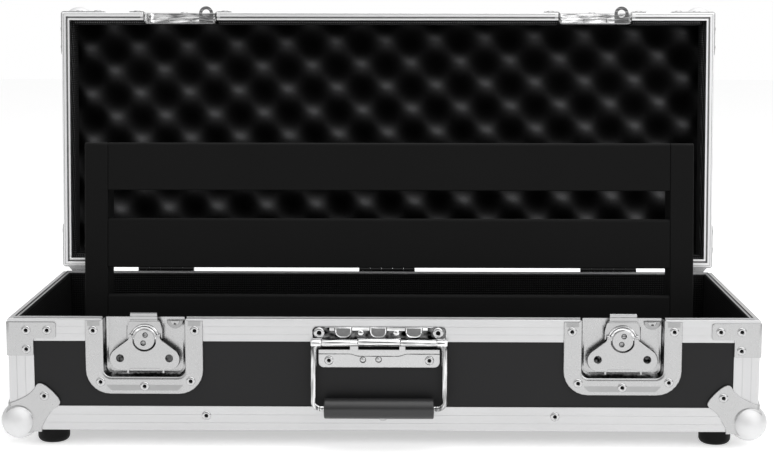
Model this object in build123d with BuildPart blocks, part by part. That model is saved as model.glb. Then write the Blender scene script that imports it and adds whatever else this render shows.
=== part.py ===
"""Pedal case: a plywood flight case with metal edges, standing open, with its slatted board."""
import os
from math import cos, radians, sin

from build123d import *

os.makedirs("parts", exist_ok=True)

# ---------------------------------------------------------------- driving dimensions (mm, degrees)
CASE_W = 698.0      # outside width, over the metal edges
CASE_D = 272.0      # outside depth, over the metal edges
BASE_H = 106.0      # base, from its underside to its rim
LID_H = 68.0        # lid, from its rim to its top
LID_OPEN = 94.5     # how far the lid stands open on its stop hinges
FOOT_H = 16.0       # how far the rubber feet stand below the base
BASE_Y = -41.37     # where the base's centre stands, front to back, from the origin

METAL = 1.2         # edge profiles and pressed plates
PLY = 5.8           # laminated plywood
PLATE = 1.5         # braces, hinge leaves and handle plates
FIT = 0.3           # clearance round a part let into another
RIM_GAP = 0.4       # daylight between the two rims when shut

RIM_W = 8.2
RIM_H = 21.0
RIM_INNER = 8.0
TONGUE_IN, TONGUE_W, TONGUE_H = 5.0, 0.8, 1.3
GROOVE_IN, GROOVE_W, GROOVE_H = 4.4, 2.0, 2.2
EDGE_LEG = 23.2     # angle along the bottom and top edges
POST_LEG = 24.0     # angle up each corner
EDGE_R = 1.6

LINING = 3.0
MAT_T = 14.0
FOAM_T = 28.6
LINER_T = 5.0

LATCH_X = CASE_W / 2 - 127     # latch centres, either side of the middle
DISH_W, DISH_DROP, DISH_DEEP = 76.0, 54.7, 11.0
FLANGE_W, FLANGE_DROP, FLANGE_R, FLANGE_TOP = 109.5, DISH_DROP + 16.3, 23.0, 2.0
LID_DROP, LID_FLANGE_DROP, LID_FLANGE_R = 29.0, 44.0, 16.0
BOSS_DROP = 19.7    # boss centre below the rim
BOSS_R, BOSS_FLANGE_R, SHAFT_R = 10.2, 11.5, 5.0
RUN_FIT = 0.06      # radial clearance of a turning pin
WING_AXIS = 3.0     # fold axis above the boss centre
HOOK_OUT, HOOK_UP = 4.9, 2.7    # how far the released hook stands out and up
RING_X = 28.0       # padlock ring, right of the latch centre

HINGE_X = (111 - CASE_W / 2, 0.0, CASE_W / 2 - 111)
HINGE_W = 60.0
HINGE_BACK, HINGE_UP = 4.5, 0.9     # hinge line behind the back face and above the base's rim
BARREL_R, PIN_R = 4.0, 2.0

HANDLE_X = -3.7
BAIL_R = 2.7
BAIL_Y, BAIL_Z = 5.6, BASE_H - 21.5     # pivot in front of the face and above the underside
BAIL_HALF = 60.8
GRIP_R, GRIP_L, GRIP_Z = 9.45, 101.7, BAIL_Z - 60.5
GRIP_Y = 10.2                       # grip axis in front of the face
BAIL_JAW = 0.08

BOARD_W = CASE_W - 106
BOARD_L = CASE_D - 35    # along the slope, so that it fits lying down
BOARD_X = 3.8       # how far it stands right of the middle
BOARD_T = 37.0      # depth of the side rails
BOARD_LEAN = 7.0
SLAT_T = 8.0
RAIL_W = 22.5
SLATS = ((0.0, 46.3), (73.6, 121.6), (147.6, BOARD_L))   # from the top edge: start and end
SLAT_ROUND, SLAT_EASE = 3.0, 1.2    # rounding of a slat's upper and lower front edges
ROLLER_Y = 108 - CASE_D / 2    # roller line, from the base's centre
ROLLER_R, ROLLER_L = 6.3, 10.0
ROLLER_IN = 6.0     # roller line inside the board's back and bottom faces

RIVET_R = 4.3

# ---------------------------------------------------------------- frames
HALF_W, HALF_D = CASE_W / 2, CASE_D / 2
FACE = METAL + PLY              # from the outer face to the inner face of the plywood
LID_RIM = BASE_H + RIM_GAP
LID_TOP = LID_RIM + LID_H
HINGE_Y, HINGE_Z = HALF_D + HINGE_BACK, BASE_H + HINGE_UP
MAT_TOP = METAL + PLY + MAT_T
FRONT = -HALF_D
UP = Vector(0, 0, 1)

BASE = Plane((0, BASE_Y, FOOT_H))
HINGE = Location((0, HINGE_Y, HINGE_Z))
LID = Plane(BASE.location * HINGE * Location((0, 0, 0), (-LID_OPEN, 0, 0)) * HINGE.inverse())

OUTWARD = {"front": Vector(0, -1, 0), "back": Vector(0, 1, 0), "left": Vector(-1, 0, 0), "right": Vector(1, 0, 0)}
REACH = {"front": HALF_D, "back": HALF_D, "left": HALF_W, "right": HALF_W}
SPAN = {"front": CASE_W, "back": CASE_W, "left": CASE_D, "right": CASE_D}
CORNERS = ((-1, -1), (1, -1), (1, 1), (-1, 1))


def placed(frame, plane):
    """A plane given in the base's or the lid's own frame."""
    return Plane(frame.location * plane.location)


def section(frame, side, along, z, up):
    """Cross-section of a wall: x runs inward from the outer face, y up or down."""
    inward = -OUTWARD[side]
    run = inward.cross(UP)
    origin = OUTWARD[side] * REACH[side] + run * along + UP * z
    return placed(frame, Plane(origin, x_dir=inward, z_dir=run * up))


def elevation(frame, side, x=0.0, z=0.0, proud=0.0):
    """Outer face of a wall: x to the right as seen from outside, y up, z outward."""
    outward = OUTWARD[side]
    right = UP.cross(outward)
    origin = outward * (REACH[side] + proud) + right * x + UP * z
    return placed(frame, Plane(origin, x_dir=right, z_dir=outward))


def corner(frame, sx, sy, z, up):
    """Frame at a corner post: x and y run inboard, z up or down."""
    x_dir = (-sx, 0, 0) if sx * sy == up else (0, -sy, 0)
    return placed(frame, Plane((sx * HALF_W, sy * HALF_D, z), x_dir=x_dir, z_dir=(0, 0, up)))


def corners(frame, z, up):
    return [corner(frame, sx, sy, z, up) for sx, sy in CORNERS]


def slab(x0, x1, y0, y1, z0, z1, mode=Mode.ADD):
    """Box between two values on each axis of the frame in use."""
    with Locations(((x0 + x1) / 2, (y0 + y1) / 2, (z0 + z1) / 2)):
        Box(x1 - x0, y1 - y0, z1 - z0, mode=mode)


def rod(x0, x1, y, z, radius, mode=Mode.ADD):
    """Cylinder along x in the frame in use."""
    with Locations(Location(((x0 + x1) / 2, y, z), (0, 90, 0))):
        Cylinder(radius, x1 - x0, mode=mode)


# ---------------------------------------------------------------- plywood
def wall(frame, side, z0, z1):
    """One plywood wall; the side walls stand between the front and the back."""
    half = HALF_W - METAL if side in ("front", "back") else HALF_D - FACE
    with BuildSketch(elevation(frame, side, z=z0, proud=-METAL)) as sheet:
        Rectangle(2 * half, z1 - z0, align=(Align.CENTER, Align.MIN))
    extrude(sheet.sketch, amount=-PLY)


def dish_cutouts(frame, rim_z, drop, toward):
    """Notches for the two latch dishes, open at the rim."""
    for x in (-LATCH_X, LATCH_X):
        half = DISH_W / 2 + METAL + FIT
        far = rim_z + toward * (drop + METAL + FIT)
        with BuildSketch(elevation(frame, "front", x=x, proud=METAL)) as notch:
            with Locations((0, rim_z - toward)):
                Rectangle(2 * half, 2 * abs(far - rim_z + toward))
        extrude(notch.sketch, amount=-3 * PLY, mode=Mode.SUBTRACT)


for side in OUTWARD:
    with BuildPart() as base_wall:
        wall(BASE, side, METAL, BASE_H - METAL)
        if side == "front":
            dish_cutouts(BASE, BASE_H, DISH_DROP, -1)
    base_wall.part.label = f"base_panel_{side}"
    export_step(base_wall.part, f"parts/base_panel_{side}.step")

    with BuildPart() as lid_wall:
        wall(LID, side, LID_RIM + GROOVE_H + METAL, LID_TOP - METAL)
        if side == "front":
            dish_cutouts(LID, LID_RIM, LID_DROP, 1)
    lid_wall.part.label = f"lid_panel_{side}"
    export_step(lid_wall.part, f"parts/lid_panel_{side}.step")

with BuildPart(BASE) as base_floor:
    slab(FACE - HALF_W, HALF_W - FACE, FACE - HALF_D, HALF_D - FACE, METAL, FACE)
base_floor.part.label = "base_floor"
export_step(base_floor.part, "parts/base_floor.step")

with BuildPart(LID) as lid_panel_top:
    slab(FACE - HALF_W, HALF_W - FACE, FACE - HALF_D, HALF_D - FACE, LID_TOP - FACE, LID_TOP - METAL)
lid_panel_top.part.label = "lid_panel_top"
export_step(lid_panel_top.part, "parts/lid_panel_top.step")


# ---------------------------------------------------------------- edge metal
def mitre(frame, side, end):
    """Trim the current part to the 45 degree joint at one end of a wall."""
    outward = OUTWARD[side]
    run = (-outward).cross(UP)
    point = outward * REACH[side] + run * (end * SPAN[side] / 2)
    split(bisect_by=placed(frame, Plane(point, z_dir=outward - run * end)), keep=Keep.TOP)


def rim(frame, side, z, up, start, end, mating):
    """Folded profile over a wall's free edge, from start to end along the wall."""
    with BuildSketch(section(frame, side, start if up > 0 else end, z, up)) as profile:
        Rectangle(METAL, RIM_H, align=(Align.MIN, Align.MIN))
        Rectangle(RIM_W, METAL, align=(Align.MIN, Align.MIN))
        with Locations((RIM_W - METAL, 0)):
            Rectangle(METAL, RIM_INNER, align=(Align.MIN, Align.MIN))
        if mating == "tongue":
            with Locations((TONGUE_IN, -TONGUE_H)):
                Rectangle(TONGUE_W, TONGUE_H + METAL, align=(Align.MIN, Align.MIN))
        else:
            with Locations((GROOVE_IN - METAL, 0)):
                Rectangle(GROOVE_W + 2 * METAL, GROOVE_H + METAL, align=(Align.MIN, Align.MIN))
            with Locations((GROOVE_IN, 0)):
                Rectangle(GROOVE_W, GROOVE_H, align=(Align.MIN, Align.MIN), mode=Mode.SUBTRACT)
        with Locations((0, RIM_H / 3), (0, 2 * RIM_H / 3)):
            Rectangle(0.5, 0.7, mode=Mode.SUBTRACT)
        fillet(profile.vertices().sort_by_distance((0, 0))[0], METAL * 0.7)
    extrude(profile.sketch, amount=end - start)
    for sign, reach in ((-1, start), (1, end)):
        if abs(reach) >= SPAN[side] / 2:
            mitre(frame, side, sign)


NOTCH = DISH_W / 2 + METAL + 0.1
RUNS = {
    "front_left": ("front", -HALF_W, -LATCH_X - NOTCH),
    "front_middle": ("front", -LATCH_X + NOTCH, LATCH_X - NOTCH),
    "front_right": ("front", LATCH_X + NOTCH, HALF_W),
    "back": ("back", -HALF_W, HALF_W),
    "left": ("left", -HALF_D, HALF_D),
    "right": ("right", -HALF_D, HALF_D),
}
for name, (side, start, end) in RUNS.items():
    with BuildPart() as base_rim:
        rim(BASE, side, BASE_H, -1, start, end, "tongue")
    base_rim.part.label = f"base_rim_{name}"
    export_step(base_rim.part, f"parts/base_rim_{name}.step")

    with BuildPart() as lid_rim:
        rim(LID, side, LID_RIM, 1, start, end, "groove")
    lid_rim.part.label = f"lid_rim_{name}"
    export_step(lid_rim.part, f"parts/lid_rim_{name}.step")


def angle_profile(leg, lines=()):
    """L with a rounded outer corner at the origin and shallow lines along its legs."""
    Rectangle(leg, leg, align=(Align.MIN, Align.MIN))
    with Locations((METAL, METAL)):
        Rectangle(leg, leg, align=(Align.MIN, Align.MIN), mode=Mode.SUBTRACT)
    with Locations(*[(0, at) for at in lines]):
        Rectangle(0.5, 0.7, mode=Mode.SUBTRACT)
    with Locations(*[(at, 0) for at in lines]):
        Rectangle(0.7, 0.5, mode=Mode.SUBTRACT)


def edge_angles(frame, z, up):
    """Mitred angles along the four edges of the floor or the lid's top, as four separate lengths."""
    lengths = []
    for side in OUTWARD:
        half = SPAN[side] / 2
        with BuildPart(mode=Mode.PRIVATE) as length:
            with BuildSketch(section(frame, side, -half * up, z, up)) as profile:
                angle_profile(EDGE_LEG, (EDGE_LEG / 3, 2 * EDGE_LEG / 3))
                fillet(profile.vertices().sort_by_distance((0, 0))[0], EDGE_R)
            extrude(amount=2 * half)
            mitre(frame, side, -1)
            mitre(frame, side, 1)
        lengths.append(length.part)
    return lengths


def corner_posts(frame, z, up, height):
    """Upright angles between the edge angles and the rims."""
    for plane in corners(frame, z, up):
        with BuildSketch(plane) as profile:
            angle_profile(POST_LEG, (POST_LEG / 3, 2 * POST_LEG / 3))
            fillet(profile.vertices().sort_by_distance((0, 0))[0], EDGE_R)
        extrude(profile.sketch, amount=height)


base_edges = Compound(label="base_edge_angles", children=edge_angles(BASE, 0, 1))
export_step(base_edges, "parts/base_edge_angles.step")

lid_edges = Compound(label="lid_edge_angles", children=edge_angles(LID, LID_TOP, -1))
export_step(lid_edges, "parts/lid_edge_angles.step")

with BuildPart() as base_posts:
    corner_posts(BASE, EDGE_LEG, 1, BASE_H - RIM_H - EDGE_LEG)
base_posts.part.label = "base_corner_angles"
export_step(base_posts.part, "parts/base_corner_angles.step")

with BuildPart() as lid_posts:
    corner_posts(LID, LID_TOP - EDGE_LEG, -1, LID_H - RIM_H - EDGE_LEG)
lid_posts.part.label = "lid_corner_angles"
export_step(lid_posts.part, "parts/lid_corner_angles.step")


# ---------------------------------------------------------------- corner hardware
BALL_R, BALL_IN = 17.5, 8.0
LOBE = ((30, 6), (39.5, 19.5), (48, 25), (43.5, 36), (36, 43.5), (25, 48), (19.5, 39.5), (6, 30))


def loose(vertices):
    """The vertices that stand clear of the corner's own edges."""
    return vertices.filter_by(lambda v: v.X > 5 and abs(v.Y) > 2.5)


def folded_plate(planes, outline, radius, thick):
    """The same plate on both faces of each corner, folded round the corner's edge."""
    for base_plane, outward in ((Plane.XZ, 1), (Plane.YZ, -1)):
        for plane in planes:
            with BuildSketch(placed(plane, base_plane)) as plate:
                with BuildLine():
                    Polyline(*outline, close=True)
                make_face()
                fillet(loose(plate.vertices()), radius)
            extrude(plate.sketch, amount=outward * thick)


def ball_corners(frame, z, up):
    """Pressed corner: a ball over the corner, a riveted lobe on each wall and a web underneath."""
    planes = corners(frame, z, up)
    outline = [(-PLATE, -PLATE), (28, -PLATE), *LOBE, (-PLATE, 28)]
    folded_plate(planes, outline, 3, PLATE)
    for plane in planes:
        with BuildSketch(plane) as web:
            with BuildLine():
                Polyline((-PLATE, -PLATE), (28, -PLATE), (24, 6), (6, 24), (-PLATE, 28), close=True)
            make_face()
        extrude(web.sketch, amount=-PLATE)
    for plane in planes:
        with Locations(placed(plane, Plane((BALL_IN, BALL_IN, BALL_IN)))):
            Sphere(BALL_R)
        with Locations(placed(plane, Plane((30, 30, 30)))):
            Box(60, 60, 60, mode=Mode.SUBTRACT)


with BuildPart() as base_balls:
    ball_corners(BASE, 0, 1)
base_balls.part.label = "base_ball_corners"
export_step(base_balls.part, "parts/base_ball_corners.step")

with BuildPart() as lid_balls:
    ball_corners(LID, LID_TOP, -1)
lid_balls.part.label = "lid_ball_corners"
export_step(lid_balls.part, "parts/lid_ball_corners.step")

BRACE_TOP, BRACE_ARM, BRACE_LONG, BRACE_DROP = 3.0, 15.5, 45.0, 35.0
BRACE = (
    (-PLATE, -BRACE_TOP), (BRACE_LONG, -BRACE_TOP), (BRACE_LONG, -BRACE_TOP - BRACE_ARM),
    (POST_LEG, -BRACE_TOP - BRACE_ARM), (POST_LEG, -BRACE_DROP), (-PLATE, -BRACE_DROP),
)
LID_BRACE = (
    (-PLATE, -BRACE_TOP), (BRACE_LONG, -BRACE_TOP),
    (BRACE_LONG, -BRACE_TOP - BRACE_ARM), (-PLATE, -BRACE_TOP - BRACE_ARM),
)
FLANGE_OUT, FLANGE_LONG = 5.0, 40.0

with BuildPart() as base_braces:
    folded_plate(corners(BASE, BASE_H, 1), BRACE, 3, PLATE)
base_braces.part.label = "base_corner_braces"
export_step(base_braces.part, "parts/base_corner_braces.step")

with BuildPart() as lid_braces:
    folded_plate(corners(LID, LID_RIM, -1), LID_BRACE, 3, PLATE)
    for sx in (-1, 1):
        with BuildSketch(placed(LID, Plane.XY.offset(LID_RIM + BRACE_TOP))):
            with BuildLine():
                inner, outer = HALF_W - FLANGE_LONG, HALF_W - 4
                back = HALF_D + PLATE / 2
                Polyline((sx * inner, back), (sx * outer, back),
                         (sx * (outer - FLANGE_OUT), back + FLANGE_OUT),
                         (sx * (inner + 3), back + FLANGE_OUT), close=True)
            make_face()
        extrude(amount=PLATE)
lid_braces.part.label = "lid_corner_braces"
export_step(lid_braces.part, "parts/lid_corner_braces.step")


# ---------------------------------------------------------------- feet
FOOT_R, FOOT_X, FOOT_Y = 15.0, HALF_W - 36, HALF_D - 25.6
FOOT_SPOTS = [(sx * FOOT_X, sy * FOOT_Y) for sx, sy in CORNERS]

with BuildPart(BASE) as rubber_feet:
    with Locations(*[(x, y, 0) for x, y in FOOT_SPOTS]):
        Cylinder(FOOT_R, FOOT_H, align=(Align.CENTER, Align.CENTER, Align.MAX))
    fillet(rubber_feet.edges().group_by(Axis.Z)[0], 5.5)
    with Locations(*[(x, y, -FOOT_H) for x, y in FOOT_SPOTS]):
        Cylinder(4.6, 9, align=(Align.CENTER, Align.CENTER, Align.MIN), mode=Mode.SUBTRACT)
        Cylinder(2.1, FOOT_H + METAL, align=(Align.CENTER, Align.CENTER, Align.MIN), mode=Mode.SUBTRACT)
rubber_feet.part.label = "rubber_feet"
export_step(rubber_feet.part, "parts/rubber_feet.step")

with BuildPart(BASE) as foot_screws:
    with Locations(*[(x, y, -FOOT_H + 9) for x, y in FOOT_SPOTS]):
        Cylinder(4.2, 2.4, align=(Align.CENTER, Align.CENTER, Align.MAX))
        Cylinder(2.1, FOOT_H + METAL - 9, align=(Align.CENTER, Align.CENTER, Align.MIN))
foot_screws.part.label = "foot_screws"
export_step(foot_screws.part, "parts/foot_screws.step")


# ---------------------------------------------------------------- linings
def ring(x, y, thick, z0, z1):
    """Four-sided band of soft sheet against the walls."""
    slab(-x, x, -y, y, z0, z1)
    slab(thick - x, x - thick, thick - y, y - thick, z0 - 1, z1 + 1, mode=Mode.SUBTRACT)


with BuildPart(BASE) as wall_lining:
    ring(HALF_W - FACE, HALF_D - FACE, LINING, MAT_TOP, BASE_H - RIM_INNER - 0.1)
    for x in (-LATCH_X, LATCH_X):
        half = DISH_W / 2 + METAL + FIT
        slab(x - half, x + half, FRONT, FRONT + 2 * DISH_DEEP, BASE_H - DISH_DROP - METAL - FIT, BASE_H, Mode.SUBTRACT)
wall_lining.part.label = "wall_lining"
export_step(wall_lining.part, "parts/wall_lining.step")

with BuildPart(BASE) as floor_mat:
    slab(FACE - HALF_W, HALF_W - FACE, FACE - HALF_D, HALF_D - FACE, FACE, MAT_TOP)
floor_mat.part.label = "floor_mat"
export_step(floor_mat.part, "parts/floor_mat.step")

FOAM_FACE = LID_TOP - FACE - FOAM_T

with BuildPart(LID) as lid_foam:
    slab(FACE - HALF_W, HALF_W - FACE, FACE - HALF_D, HALF_D - FACE, FOAM_FACE, LID_TOP - FACE)
lid_foam.part.label = "lid_foam"
export_step(lid_foam.part, "parts/lid_foam.step")

with BuildPart(LID) as lid_liner:
    ring(HALF_W - FACE, HALF_D - FACE, LINER_T, LID_RIM + RIM_INNER + 0.1, FOAM_FACE)
    ring(HALF_W - RIM_W, HALF_D - RIM_W, LINER_T - RIM_W + FACE, LID_RIM + 1, LID_RIM + RIM_INNER + 0.1)
    for x in (-LATCH_X, LATCH_X):
        half = DISH_W / 2 + METAL + FIT
        slab(x - half, x + half, FRONT, FRONT + DISH_DEEP + METAL + FIT, LID_RIM, LID_RIM + LID_DROP + METAL + FIT,
             Mode.SUBTRACT)
lid_liner.part.label = "lid_liner"
export_step(lid_liner.part, "parts/lid_liner.step")


# ---------------------------------------------------------------- latches
def dish(frame, x, rim_z, toward, drop, flange_drop, flange_r):
    """Pressed pan let into the front wall, open at the rim, with a flange on the face."""
    face = elevation(frame, "front", x=x, z=rim_z)
    far = 0 if toward < 0 else -1
    with BuildSketch(face) as flange:
        with Locations((0, toward * (flange_drop + FLANGE_TOP) / 2)):
            Rectangle(FLANGE_W, flange_drop - FLANGE_TOP)
        fillet(flange.vertices().group_by(Axis.Y)[far], flange_r)
    extrude(flange.sketch, amount=METAL)
    with BuildSketch(face) as pan:
        with Locations((0, toward * (drop + METAL) / 2)):
            Rectangle(DISH_W + 2 * METAL, drop + METAL)
        fillet(pan.vertices().group_by(Axis.Y)[far], 8)
    extrude(pan.sketch, amount=-DISH_DEEP - METAL)
    with BuildSketch(placed(face, Plane.XY.offset(-DISH_DEEP))) as hollow:
        with Locations((0, toward * (drop - 1) / 2)):
            Rectangle(DISH_W, drop + 1)
        fillet(hollow.vertices().group_by(Axis.Y)[far], 7)
    extrude(hollow.sketch, amount=DISH_DEEP + METAL, mode=Mode.SUBTRACT)


def inboard(distance):
    """Where a depth behind the front face lies on the y axis."""
    return FRONT + distance


for side, x in (("left", -LATCH_X), ("right", LATCH_X)):
    boss_z = BASE_H - BOSS_DROP
    boss = placed(BASE, Plane((x, FRONT, boss_z), x_dir=(1, 0, 0), z_dir=(0, -1, 0)))

    # pan in the base, with the bearing of the boss and the padlock tab
    with BuildPart(BASE) as latch_dish:
        dish(BASE, x, BASE_H, -1, DISH_DROP, FLANGE_DROP, FLANGE_R)
        with BuildSketch(placed(boss, Plane.XY.offset(-DISH_DEEP - METAL))):
            Circle(SHAFT_R + RUN_FIT)
        extrude(amount=2 * METAL, mode=Mode.SUBTRACT)
        with BuildSketch(elevation(BASE, "front", x=x + RING_X, z=BASE_H - 3, proud=-9.7)):
            Circle(7.7)
            with Locations((0, 10)):
                Rectangle(20, 20, mode=Mode.SUBTRACT)
            with Locations((0, -3.2)):
                Circle(1.2, mode=Mode.SUBTRACT)
        extrude(amount=METAL)
        slab(x + RING_X - 7.7, x + RING_X + 7.7, inboard(8.5), inboard(DISH_DEEP), BASE_H - 4.2, BASE_H - 3)
    latch_dish.part.label = f"latch_dish_{side}"
    export_step(latch_dish.part, f"parts/latch_dish_{side}.step")

    # turning boss, with the pins that carry the wing
    with BuildPart() as latch_rotor:
        with BuildSketch(placed(boss, Plane.XY.offset(-2.6))):
            Circle(BOSS_R)
        extrude(amount=2.4)
        with BuildSketch(placed(boss, Plane.XY.offset(-4.1))):
            Circle(BOSS_FLANGE_R)
        extrude(amount=1.5)
        with BuildSketch(placed(boss, Plane.XY.offset(-DISH_DEEP - METAL + 0.1))):
            Circle(SHAFT_R)
        extrude(amount=DISH_DEEP + METAL - 4.2)
        with BuildSketch(placed(boss, Plane.XY.offset(-0.2))):
            with Locations((0, 4.2), (0, -4.2)):
                Circle(1.6)
        extrude(amount=-1.2, mode=Mode.SUBTRACT)
        with Locations(placed(boss, Plane((0, WING_AXIS, -1.55), x_dir=(0, 1, 0), z_dir=(1, 0, 0)))):
            Cylinder(0.9, 29)
    latch_rotor.part.label = f"latch_rotor_{side}"
    export_step(latch_rotor.part, f"parts/latch_rotor_{side}.step")

    # butterfly wing, folded flat in the pan
    with BuildPart() as latch_wing:
        with BuildSketch(placed(boss, Plane.XY.offset(-2.3))) as plate:
            with BuildLine():
                Polyline((14.6, WING_AXIS), (14.6, 0), (32.5, -13.4), (32.5, -28.5), (-32.5, -28.5),
                         (-32.5, -13.4), (-14.6, 0), (-14.6, WING_AXIS), close=True)
            make_face()
            fillet(plate.vertices().group_by(Axis.Y)[0], 11)
            fillet(plate.vertices().filter_by_position(Axis.Y, -13.5, -13.3), 5)
            Circle(BOSS_R + 0.8, mode=Mode.SUBTRACT)
            with Locations((22.9, -17.8), (-22.9, -17.8)):
                Circle(3.7, mode=Mode.SUBTRACT)
        extrude(amount=1.5)
        for sign in (-1, 1):
            with Locations(placed(boss, Plane((sign * 13.2, WING_AXIS, -1.55), x_dir=(0, 1, 0), z_dir=(1, 0, 0)))):
                Cylinder(1.8, 2.8)
                Cylinder(0.9 + RUN_FIT, 6, mode=Mode.SUBTRACT)
    latch_wing.part.label = f"latch_wing_{side}"
    export_step(latch_wing.part, f"parts/latch_wing_{side}.step")

    # hook plate, released: it stands out and up from its hold on the lid
    with BuildPart(BASE) as latch_hook:
        slab(x - 16.3, x + 16.3, inboard(4.5), inboard(5.7), BASE_H - 22, BASE_H - 1.6)
        slab(x - 5.5, x + 5.5, inboard(4), inboard(6), BASE_H - 23, BASE_H - 11.3, Mode.SUBTRACT)
        slab(x - 12.8, x + 12.8, inboard(-0.4), inboard(5.7), BASE_H - 2.8, BASE_H - 1.6)
        slab(x - 12.8, x + 12.8, inboard(-0.4), inboard(0.8), BASE_H - 2.8, BASE_H + 5.6)
        slab(x - 12.8, x + 12.8, inboard(-0.4), inboard(5.6), BASE_H + 4.4, BASE_H + 5.6)
        slab(x - 10.2, x + 10.2, inboard(4.4), inboard(5.6), BASE_H + 3.3, BASE_H + 5.6)
    latch_hook.part.label = f"latch_hook_{side}"
    export_step(latch_hook.part, f"parts/latch_hook_{side}.step")

    # pan in the lid, with the bar that the hook holds and the padlock ring
    with BuildPart(LID) as lid_dish:
        dish(LID, x, LID_RIM, 1, LID_DROP, LID_FLANGE_DROP, LID_FLANGE_R)
        slab(x - 13, x + 13, inboard(6), inboard(7.5), LID_RIM, LID_RIM + 1.1)
        for sign in (-1, 1):
            slab(x + sign * 12 - 1, x + sign * 12 + 1, inboard(6), inboard(DISH_DEEP), LID_RIM, LID_RIM + 1.1)
        with BuildSketch(placed(LID, Plane((x + RING_X, inboard(1), LID_RIM)))):
            Circle(7.5)
            Rectangle(15, DISH_DEEP - 1, align=(Align.CENTER, Align.MIN))
            Circle(4.2, mode=Mode.SUBTRACT)
        extrude(amount=PLATE)
    lid_dish.part.label = f"lid_latch_dish_{side}"
    export_step(lid_dish.part, f"parts/lid_latch_dish_{side}.step")


# ---------------------------------------------------------------- handle
JAW_R = BAIL_R + BAIL_JAW
BAIL = (HANDLE_X, FRONT - BAIL_Y, BAIL_Z)


def jaw(x0, x1):
    """Curled edge of a handle plate round the bail's top rod."""
    rod(HANDLE_X + x0, HANDLE_X + x1, FRONT - BAIL_Y, BAIL_Z, JAW_R + 1.5)


with BuildPart(BASE) as handle_upper:
    slab(HANDLE_X - 62.3, HANDLE_X + 62.3, FRONT - PLATE, FRONT, BASE_H - 19.5, BASE_H - 6.7)
    fillet(handle_upper.edges().filter_by(Axis.Y).group_by(Axis.Z)[-1], 4)
    for x0, x1 in ((-53, -20), (20, 53)):
        jaw(x0, x1)
        slab(HANDLE_X + x0, HANDLE_X + x1, FRONT - BAIL_Y + 1, FRONT, BAIL_Z + 1.5, BAIL_Z + JAW_R + 1.5)
    rod(HANDLE_X - 54, HANDLE_X + 54, FRONT - BAIL_Y, BAIL_Z, JAW_R, Mode.SUBTRACT)
handle_upper.part.label = "handle_upper_plate"
export_step(handle_upper.part, "parts/handle_upper_plate.step")

with BuildPart(BASE) as handle_lower:
    slab(HANDLE_X - 56.4, HANDLE_X + 56.4, FRONT - PLATE, FRONT + METAL, BASE_H - 45, BASE_H - 28)
    fillet(handle_lower.edges().filter_by(Axis.Y).group_by(Axis.Z)[0], 5)
    jaw(-18.5, 18.5)
    slab(HANDLE_X - 18.5, HANDLE_X + 18.5, FRONT - BAIL_Y + 1, FRONT - BAIL_Y + 1 + PLATE, BASE_H - 29.5, BAIL_Z - 1.5)
    slab(HANDLE_X - 18.5, HANDLE_X + 18.5, FRONT - BAIL_Y + 1, FRONT, BASE_H - 29.5, BASE_H - 28)
    rod(HANDLE_X - 54, HANDLE_X + 54, FRONT - BAIL_Y, BAIL_Z, JAW_R, Mode.SUBTRACT)
handle_lower.part.label = "handle_lower_plate"
export_step(handle_lower.part, "parts/handle_lower_plate.step")

GRIP_DROP = ((GRIP_Y - BAIL_Y) ** 2 + (BAIL_Z - GRIP_Z) ** 2) ** 0.5
bail_down = Vector(0, BAIL_Y - GRIP_Y, GRIP_Z - BAIL_Z).normalized()
bail_plane = placed(BASE, Plane(BAIL, x_dir=(1, 0, 0), z_dir=Vector(1, 0, 0).cross(-bail_down)))

with BuildPart() as handle_bail:
    with BuildLine(bail_plane) as path:
        wire = FilletPolyline((-4, 0), (-BAIL_HALF, 0), (-BAIL_HALF, -GRIP_DROP), (BAIL_HALF, -GRIP_DROP),
                              (BAIL_HALF, 0), (4, 0), radius=7)
    with BuildSketch(Plane(wire @ 0, z_dir=wire % 0)):
        Circle(BAIL_R)
    sweep(path=path.wires()[0])
handle_bail.part.label = "handle_bail"
export_step(handle_bail.part, "parts/handle_bail.step")

with BuildPart(BASE) as handle_grip:
    rod(HANDLE_X - GRIP_L / 2, HANDLE_X + GRIP_L / 2, FRONT - GRIP_Y, GRIP_Z, GRIP_R)
    fillet(handle_grip.edges().filter_by(GeomType.CIRCLE), 1.5)
    rod(HANDLE_X - GRIP_L, HANDLE_X + GRIP_L, FRONT - GRIP_Y, GRIP_Z, BAIL_R, Mode.SUBTRACT)
handle_grip.part.label = "handle_grip"
export_step(handle_grip.part, "parts/handle_grip.step")


# ---------------------------------------------------------------- hinges
LEAF_H, LEAF_OFF = 22.0, 3.4
KNUCKLE = HINGE_W / 5
KNUCKLE_GAP = 0.35


def leaf(x, toward, knuckles, bore):
    """Hinge leaf on the back face, with its own knuckles on the hinge line."""
    near = HINGE_Z + toward * LEAF_OFF
    far = HINGE_Z + toward * (LEAF_OFF + LEAF_H)
    slab(x - HINGE_W / 2, x + HINGE_W / 2, HALF_D, HALF_D + PLATE, min(near, far), max(near, far))
    for index in knuckles:
        x0 = x - HINGE_W / 2 + index * KNUCKLE + KNUCKLE_GAP / 2
        x1 = x0 + KNUCKLE - KNUCKLE_GAP
        rod(x0, x1, HINGE_Y, HINGE_Z, BARREL_R)
        neck = HINGE_Z + toward * (LEAF_OFF + 0.5)
        slab(x0, x1, HINGE_Y - BARREL_R, HALF_D + PLATE, min(HINGE_Z, neck), max(HINGE_Z, neck))
    rod(x - HINGE_W, x + HINGE_W, HINGE_Y, HINGE_Z, bore, Mode.SUBTRACT)


with BuildPart(BASE) as base_leaves:
    for x in HINGE_X:
        leaf(x, -1, (0, 2, 4), PIN_R)
base_leaves.part.label = "hinge_base_leaves"
export_step(base_leaves.part, "parts/hinge_base_leaves.step")

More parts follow.
